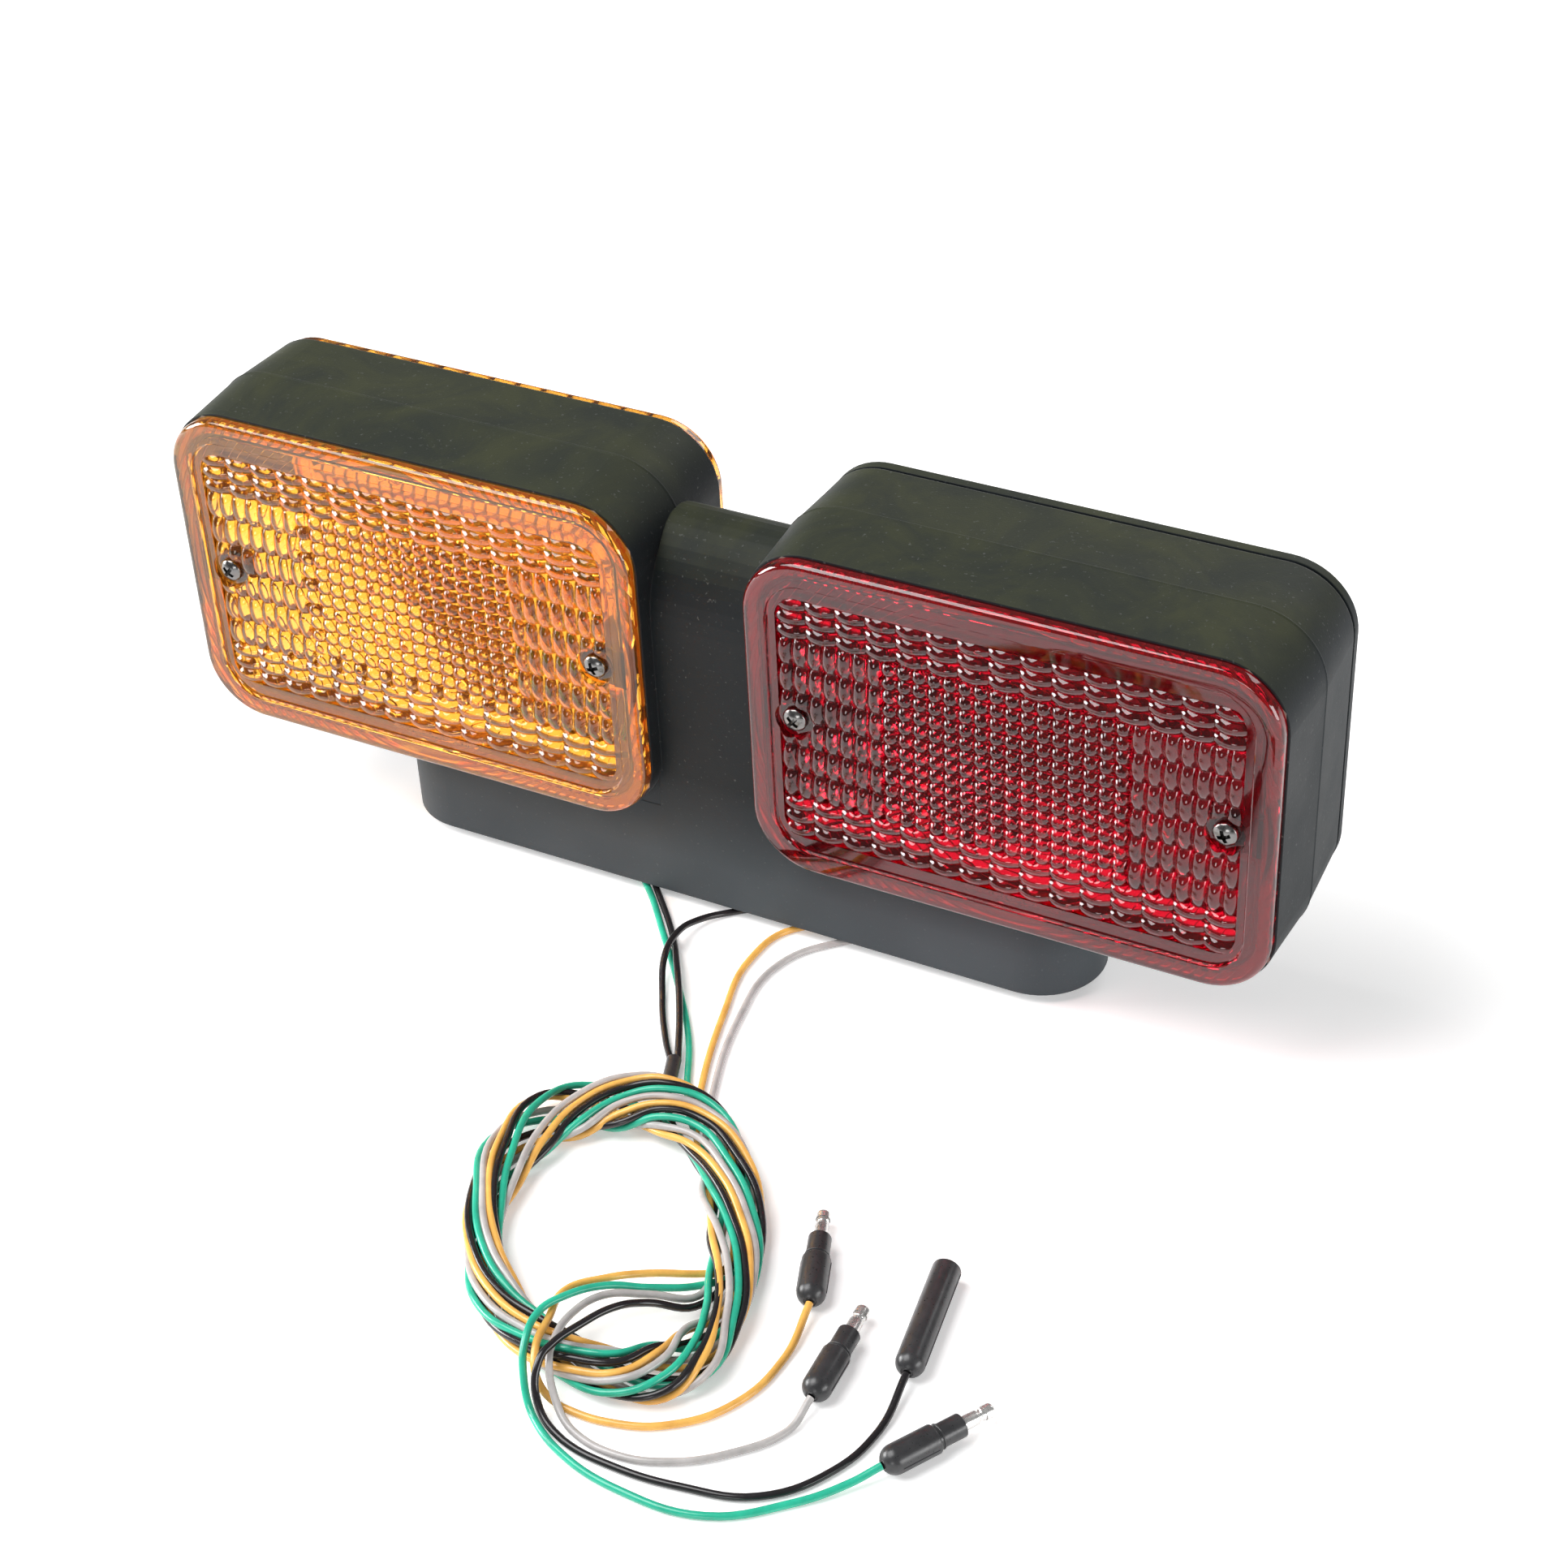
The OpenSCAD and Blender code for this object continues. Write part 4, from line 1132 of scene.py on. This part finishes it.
def joined_lens(lens):
    """Joins the optics and the rings to the body round them."""
    optics = optic_sheet(lens)
    trim_to_outline(optics, OPTIC_COLUMNS * lens.cell, OPTIC_ROWS * lens.cell, 0.007)
    edit_all(optics)
    lift(lens.rise)
    pick(optics, "EDGE", is_open)
    bpy.ops.mesh.extrude_region_move()
    bottom = lens.rise - lens.groove
    bpy.ops.transform.resize(value=(1, 1, 0), center_override=(0, 0, bottom))
    leave()
    rings = ring_sheet(lens)
    trim_to_outline(rings, 0.1456, 0.094, 0.013)
    whole = join([lens_body(lens), optics, rings], "lens_moulding")
    split = bottom - 0.0004
    edit(whole)
    for above in (True, False):
        pick(whole, "EDGE", lambda e, a=above: is_open(e) and (e.verts[0].co.z > split) == a)
        bpy.ops.mesh.bridge_edge_loops()
    leave()
    tidy(whole)
    return whole


def block(name, width, height, corner, low, high):
    """A solid with a rounded outline between two heights."""
    obj = rounded_plate(name, width, height, corner, 10)
    edit_all(obj, "FACE")
    lift(low)
    extrude(high - low)
    leave()
    tidy(obj)
    return obj


def edge_pockets(lens):
    """The pockets that the rings leave behind the border, over the rubber's rim."""
    low, high = -0.001, lens.rise - lens.thickness
    rings = []
    for k in range(BORDER_RING, RINGS):
        # A pocket takes up 0.62 of a ring's pitch
        near, far = (k + 0.3) * lens.ring_pitch, (k + 0.92) * lens.ring_pitch
        profile = [(near, low), (far, low), (far, high), (near, high), (near, low)]
        rings.append(spun("pocket_ring", profile, RING_STEPS))
    pockets = join(rings, "edge_pockets")
    wall = 0.0012
    rim = block("pocket_rim", lens.width - 2 * wall, lens.height - 2 * wall,
                lens.corner - wall, -0.002, 0.003)
    combine(rim, block("pocket_core", 0.1502, 0.0986, 0.015, -0.004, 0.005), "DIFFERENCE")
    combine(pockets, rim, "INTERSECT")
    return pockets


def screw_seats(obj, pillars=False):
    """Gives a lens or cover its two screw holes with their recesses, and finishes it."""
    for x in (-SCREW_X, SCREW_X):
        if pillars:
            combine(obj, bar("pillar", 0.0054, 0.0032, (x, 0, 0.0006)), "UNION")
        depth = 0.01 - SCREW_SEAT
        recess = bar("recess", 0.006, depth, (x, 0, SCREW_SEAT + depth / 2))
        combine(obj, recess, "DIFFERENCE")
        combine(obj, bar("hole", 0.0022, 0.02, (x, 0, 0), 32), "DIFFERENCE")
    tidy(obj)
    smooth(obj, 32)


class TAILLIGHT_OT_lenses(bpy.types.Operator):
    """Moulds one lens with its optics, and sets its copies on the two heads"""

    bl_idname = "tail_light.lenses"
    bl_label = "Lenses"

    def execute(self, context):
        lens = settings().lens
        moulding = joined_lens(lens)
        combine(moulding, edge_pockets(lens), "DIFFERENCE")
        screw_seats(moulding, pillars=True)
        amber = plastic_lens_material("amber_acrylic", tuple(lens.amber), (1.0, 0.72, 0.28), 0.03)
        red = plastic_lens_material("red_acrylic", tuple(lens.red), (0.85, 0.10, 0.11), 0.02)
        for name, x, front, finish in (
            ("amber_front_lens", AMBER_X, True, amber),
            ("amber_rear_lens", AMBER_X, False, amber),
            ("red_lens", RED_X, True, red),
        ):
            piece = copy_of(moulding, name + "_moulding", face_matrix(x, front))
            ready(piece, finish, "red_lens" if finish is red else "amber_lens", name)
        discard(moulding)
        return {"FINISHED"}


# ---------------------------------------------------------------- housing and fittings


def cover_plate(lens):
    """The blank cover: a rounded plate on a narrower neck, which leaves a groove all round."""
    groove, edge, wider = 0.0011, 0.0004, 0.0012
    plate = rounded_plate("cover_plate", lens.width + wider, lens.height + wider,
                          lens.corner + wider / 2, 14)
    edit_all(plate, "FACE")
    extrude(lens.rise - groove - edge)
    round_over(edge)
    pick_back(plate)
    inset((0.0020, 0), (0.0001, groove))
    bpy.ops.mesh.select_all(action="SELECT")
    lift(groove)
    leave()
    screw_seats(plate)
    return plate


def corner_fill():
    """The two small webs of rubber that close the corners between the heads and the base."""
    inner, outer, low, high, depth = 0.0184, 0.0300, 0.0359, 0.0480, 0.0399
    left = box("corner_fill", (outer - inner, depth, high - low),
               (-(inner + outer) / 2, 0, (low + high) / 2))
    edit_all(left)
    bpy.ops.mesh.bisect(
        plane_co=(-inner, 0, high), plane_no=(-(high - low), 0, outer - inner),
        use_fill=True, clear_outer=True,
    )
    leave()
    right = copy_of(left, "corner_fill_right", Matrix.Rotation(math.pi, 4, "Z"))
    pair = join([left, right], "corner_fill_pair")
    tidy(pair)
    return pair


class TAILLIGHT_OT_housing(bpy.types.Operator):
    """Finishes the rubber housing and its corners, the rear cover and the grommets"""

    bl_idname = "tail_light.housing"
    bl_label = "Rubber housing"

    def execute(self, context):
        rubber = rubber_material("moulded_rubber")
        for node in packed("housing", "amber_grommet", "red_grommet"):
            coat(node, rubber)
        plate = cover_plate(settings().lens)
        cover = copy_of(plate, "rear_cover_plate", face_matrix(RED_X, False))
        discard(plate)
        ready(cover, rubber, "rubber", "rear_cover")
        ready(corner_fill(), rubber, "rubber")
        return {"FINISHED"}


def pick_low(obj):
    """In edit mode, selects the vertices of an object's lower end."""
    low = min(v.co.z for v in obj.data.vertices)
    edit(obj)
    pick(obj, "VERT", lambda v: v.co.z < low + 0.0001)


def cross_screw(name):
    """A pan-head screw with a cross recess, its seat at nought and its head upward."""
    head, high, shank, long = 0.00375, 0.0026, 0.002, 0.014
    ball = 0.0054
    rim = math.degrees(math.acos((head - 0.0002) / ball))
    profile = [
        (0.0, -long), (shank - 0.0005, -long), (shank, -long + 0.0006), (shank, -0.0001),
        (head - 0.0002, 0.0), (head, 0.0002), (head, high - 0.0017),
        *arc(0.0, high - ball, ball, rim, 90, 12),
    ]
    screw = spun(name, profile, 48)
    length, width, depth = 0.0054, 0.0015, 0.0040
    for size in ((length, width, depth), (width, length, depth)):
        wing = box("wing", size, (0, 0, high))
        pick_low(wing)
        bpy.ops.transform.resize(value=(0.55, 0.6, 1), center_override=(0, 0, high))
        leave()
        combine(screw, wing, "DIFFERENCE")
    smooth(screw, 30)
    return screw


def bulb_glass(name, bulb):
    """Hollow glass of a bulb: neck and ball, thin walled."""
    r = bulb.glass_width / 2
    wall = 0.0005
    middle = bulb.bottom + bulb.length - r
    neck = bulb.cap_width / 2 - 0.0012
    low = bulb.bottom + bulb.cap_length - 0.001
    outside = [(neck, low), (neck, low + 0.003), (neck + 0.0007, low + 0.0075),
               *arc(0.0, middle, r, -48, 90, 24)]
    inside = [*arc(0.0, middle, r - wall, 90, -48, 24), (neck + 0.0007 - wall, low + 0.0075),
              (neck - wall, low + 0.003), (neck - wall, low), (neck, low)]
    glass = spun(name, outside + inside)
    smooth(glass, 50)
    return glass


def bulb_metal(name, bulb):
    """Cap of a bulb with its rolled edges, two pins, contact, and the filament on its wires."""
    r = bulb.cap_width / 2
    low, high = bulb.bottom, bulb.bottom + bulb.cap_length
    middle = bulb.bottom + bulb.length - bulb.glass_width / 2
    profile = [
        (0.0, low), (0.0018, low), (0.0024, low + 0.0008), (r - 0.0012, low + 0.0010),
        *arc(r - 0.0006, low + 0.0016, 0.0006, -90, 0, 4),
        (r, high - 0.003), (r - 0.0004, high - 0.0025), (r - 0.0004, high - 0.0015),
        *arc(r - 0.0005, high - 0.0005, 0.0005, -60, 90, 5),
        (r - 0.0016, high), (0.0, high - 0.0008),
    ]
    wire, half_way = middle - high + 0.001, (high + middle) / 2
    whole = join([
        spun(name, profile),
        bar("pins", 0.001, 2 * r + 0.0024, (0, 0, low + 0.009), 16, (90, 0)),
        bar("wire", 0.0003, wire, (-0.0028, 0, half_way), 16),
        bar("wire", 0.0003, wire, (0.0028, 0, half_way), 16),
        bar("filament", 0.00035, 0.0058, (0, 0, middle), 16, (0, 90)),
    ], name)
    smooth(whole, 40)
    return whole


class TAILLIGHT_OT_bulbs(bpy.types.Operator):
    """Makes one bayonet bulb and puts a copy in each head"""

    bl_idname = "tail_light.bulbs"
    bl_label = "Bulbs"

    def execute(self, context):
        bulb = settings().bulb
        glass, metal = bulb_glass("bulb_glass", bulb), bulb_metal("bulb_cap", bulb)
        clear = bulb_glass_material("bulb_glass_clear")
        for head, x in (("amber", AMBER_X), ("red", RED_X)):
            place = Matrix.Translation((x, 0, 0))
            for source, finish, slot in ((glass, clear, "bulb_glass"), (metal, brass(), "brass")):
                piece = copy_of(source, f"{head}_{source.name}", place)
                ready(piece, finish, slot, f"{head}_bulb")
        discard(glass, metal)
        return {"FINISHED"}


class TAILLIGHT_OT_screws(bpy.types.Operator):
    """Makes one cross-slotted screw and puts a pair in each lens and in the rear cover"""

    bl_idname = "tail_light.screws"
    bl_label = "Screws"

    def execute(self, context):
        dark = metal_material("dark_zinc", (0.24, 0.235, 0.23), 0.16, 0.30)
        source = cross_screw("cross_screw")
        for name, x, front in (
            ("amber_front_screws", AMBER_X, True), ("amber_rear_screws", AMBER_X, False),
            ("red_lens_screws", RED_X, True), ("cover_screws", RED_X, False),
        ):
            pair = []
            for side, turn in ((-1, 50), (1, 22)):
                seat = Matrix.Translation((side * SCREW_X, 0, SCREW_SEAT))
                place = face_matrix(x, front) @ seat
                place = place @ Matrix.Rotation(math.radians(turn), 4, "Z")
                pair.append(copy_of(source, "screw", place))
            piece = join(pair, name.replace("screws", "screw_pair"))
            ready(piece, dark, "screw_steel", name)
        discard(source)
        return {"FINISHED"}


class TAILLIGHT_OT_fittings(bpy.types.Operator):
    """Finishes the brackets, sockets, inserts, splice and the leads inside the heads"""

    bl_idname = "tail_light.fittings"
    bl_label = "Fittings"

    def execute(self, context):
        zinc = metal_material("bright_zinc", (0.74, 0.74, 0.76), 0.2, 0.4)
        finishes = {
            zinc: ("amber_socket", "red_socket", "amber_bracket", "red_bracket",
                   "amber_bracket_screws", "red_bracket_screws"),
            brass(): ("amber_screw_inserts", "red_screw_inserts", "mounting_inserts"),
            board_material("contact_board"): ("amber_contact_disc", "red_contact_disc"),
            sleeve_plastic(): ("lead_splice",),
            insulation("green"): ("amber_inner_leads",),
            insulation("orange"): ("red_inner_leads",),
        }
        for finish, names in finishes.items():
            for node in packed(*names):
                coat(node, finish)
        return {"FINISHED"}


# ---------------------------------------------------------------- stage


def aim(place, target):
    """A matrix that stands at a place and looks at a target."""
    look = (Vector(target) - Vector(place)).to_track_quat("-Z", "Y")
    return Matrix.Translation(place) @ look.to_matrix().to_4x4()


def panel_light(name, place, target, width, height, power):
    """A soft rectangular studio light."""
    light = added(name, bpy.ops.object.light_add, type="AREA")
    light.matrix_world = aim(place, target)
    light.data.shape = "RECTANGLE"
    light.data.size = width
    light.data.size_y = height
    light.data.energy = power


class TAILLIGHT_OT_stage(bpy.types.Operator):
    """Sets up the camera, the floor and the studio lights"""

    bl_idname = "tail_light.stage"
    bl_label = "Camera and stage"

    def execute(self, context):
        shot, stage = settings().camera, settings().stage
        camera = added("shot_camera", bpy.ops.object.camera_add)
        right, up = Vector(shot.right), Vector(shot.up)
        turn = Matrix((right, up, right.cross(up))).transposed()
        camera.matrix_world = Matrix.Translation(shot.place) @ turn.to_4x4()
        camera.data.sensor_width = 36
        camera.data.lens = shot.lens
        camera.data.clip_start = 0.01
        context.scene.camera = camera
        context.scene.view_settings.view_transform = "Standard"

        floor = added("studio_floor", bpy.ops.mesh.primitive_plane_add, size=stage.floor_size)
        coat(floor, floor_material("studio_floor", tuple(stage.floor_colour), stage.floor_lift))

        world = bpy.data.worlds.new("studio")
        world.use_nodes = True
        tree = world.node_tree
        tree.nodes.clear()
        shine = tree.nodes.new("ShaderNodeBackground")
        shine.inputs["Strength"].default_value = stage.sky
        out = tree.nodes.new("ShaderNodeOutputWorld")
        tree.links.new(shine.outputs[0], out.inputs["Surface"])
        context.scene.world = world

        centre = (0.0, -0.02, 0.07)
        panel_light("key_light", (-0.7, -0.5, 1.5), centre, 1.2, 1.2, stage.key)
        panel_light("fill_light", (0.35, -1.8, 0.42), centre, 0.55, 0.28, stage.fill)
        panel_light("left_light", (-1.7, -0.45, 0.55), centre, 0.9, 0.7, stage.glint)
        panel_light("side_light", (1.5, -0.25, 0.30), centre, 1.0, 0.5, stage.side)
        panel_light("rim_light", (0.3, 1.4, 0.9), centre, 1.4, 0.6, stage.rim)
        return {"FINISHED"}


class TAILLIGHT_PT_panel(bpy.types.Panel):
    """Lists the steps that build the light"""

    bl_idname = "TAILLIGHT_PT_panel"
    bl_label = "Tail Light"
    bl_space_type = "VIEW_3D"
    bl_region_type = "UI"
    bl_category = "Tail Light"

    def draw(self, context):
        for step in STEPS:
            self.layout.operator(step.bl_idname)


STEPS = (
    TAILLIGHT_OT_stage,
    TAILLIGHT_OT_plugs,
    TAILLIGHT_OT_leads,
    TAILLIGHT_OT_lenses,
    TAILLIGHT_OT_housing,
    TAILLIGHT_OT_bulbs,
    TAILLIGHT_OT_screws,
    TAILLIGHT_OT_fittings,
)
CLASSES = (
    CameraSettings,
    StageSettings,
    LensSettings,
    LeadSettings,
    PlugSettings,
    BulbSettings,
    TailLightSettings,
    *STEPS,
    TAILLIGHT_PT_panel,
)


def register():
    for cls in CLASSES:
        bpy.utils.register_class(cls)
    bpy.types.Scene.tail_light = bpy.props.PointerProperty(type=TailLightSettings)


def unregister():
    del bpy.types.Scene.tail_light
    for cls in reversed(CLASSES):
        bpy.utils.unregister_class(cls)


def main():
    """Builds the light and its studio."""
    register()
    for step in STEPS:
        group, name = step.bl_idname.split(".")
        getattr(getattr(bpy.ops, group), name)()


if __name__ == "__main__":
    main()
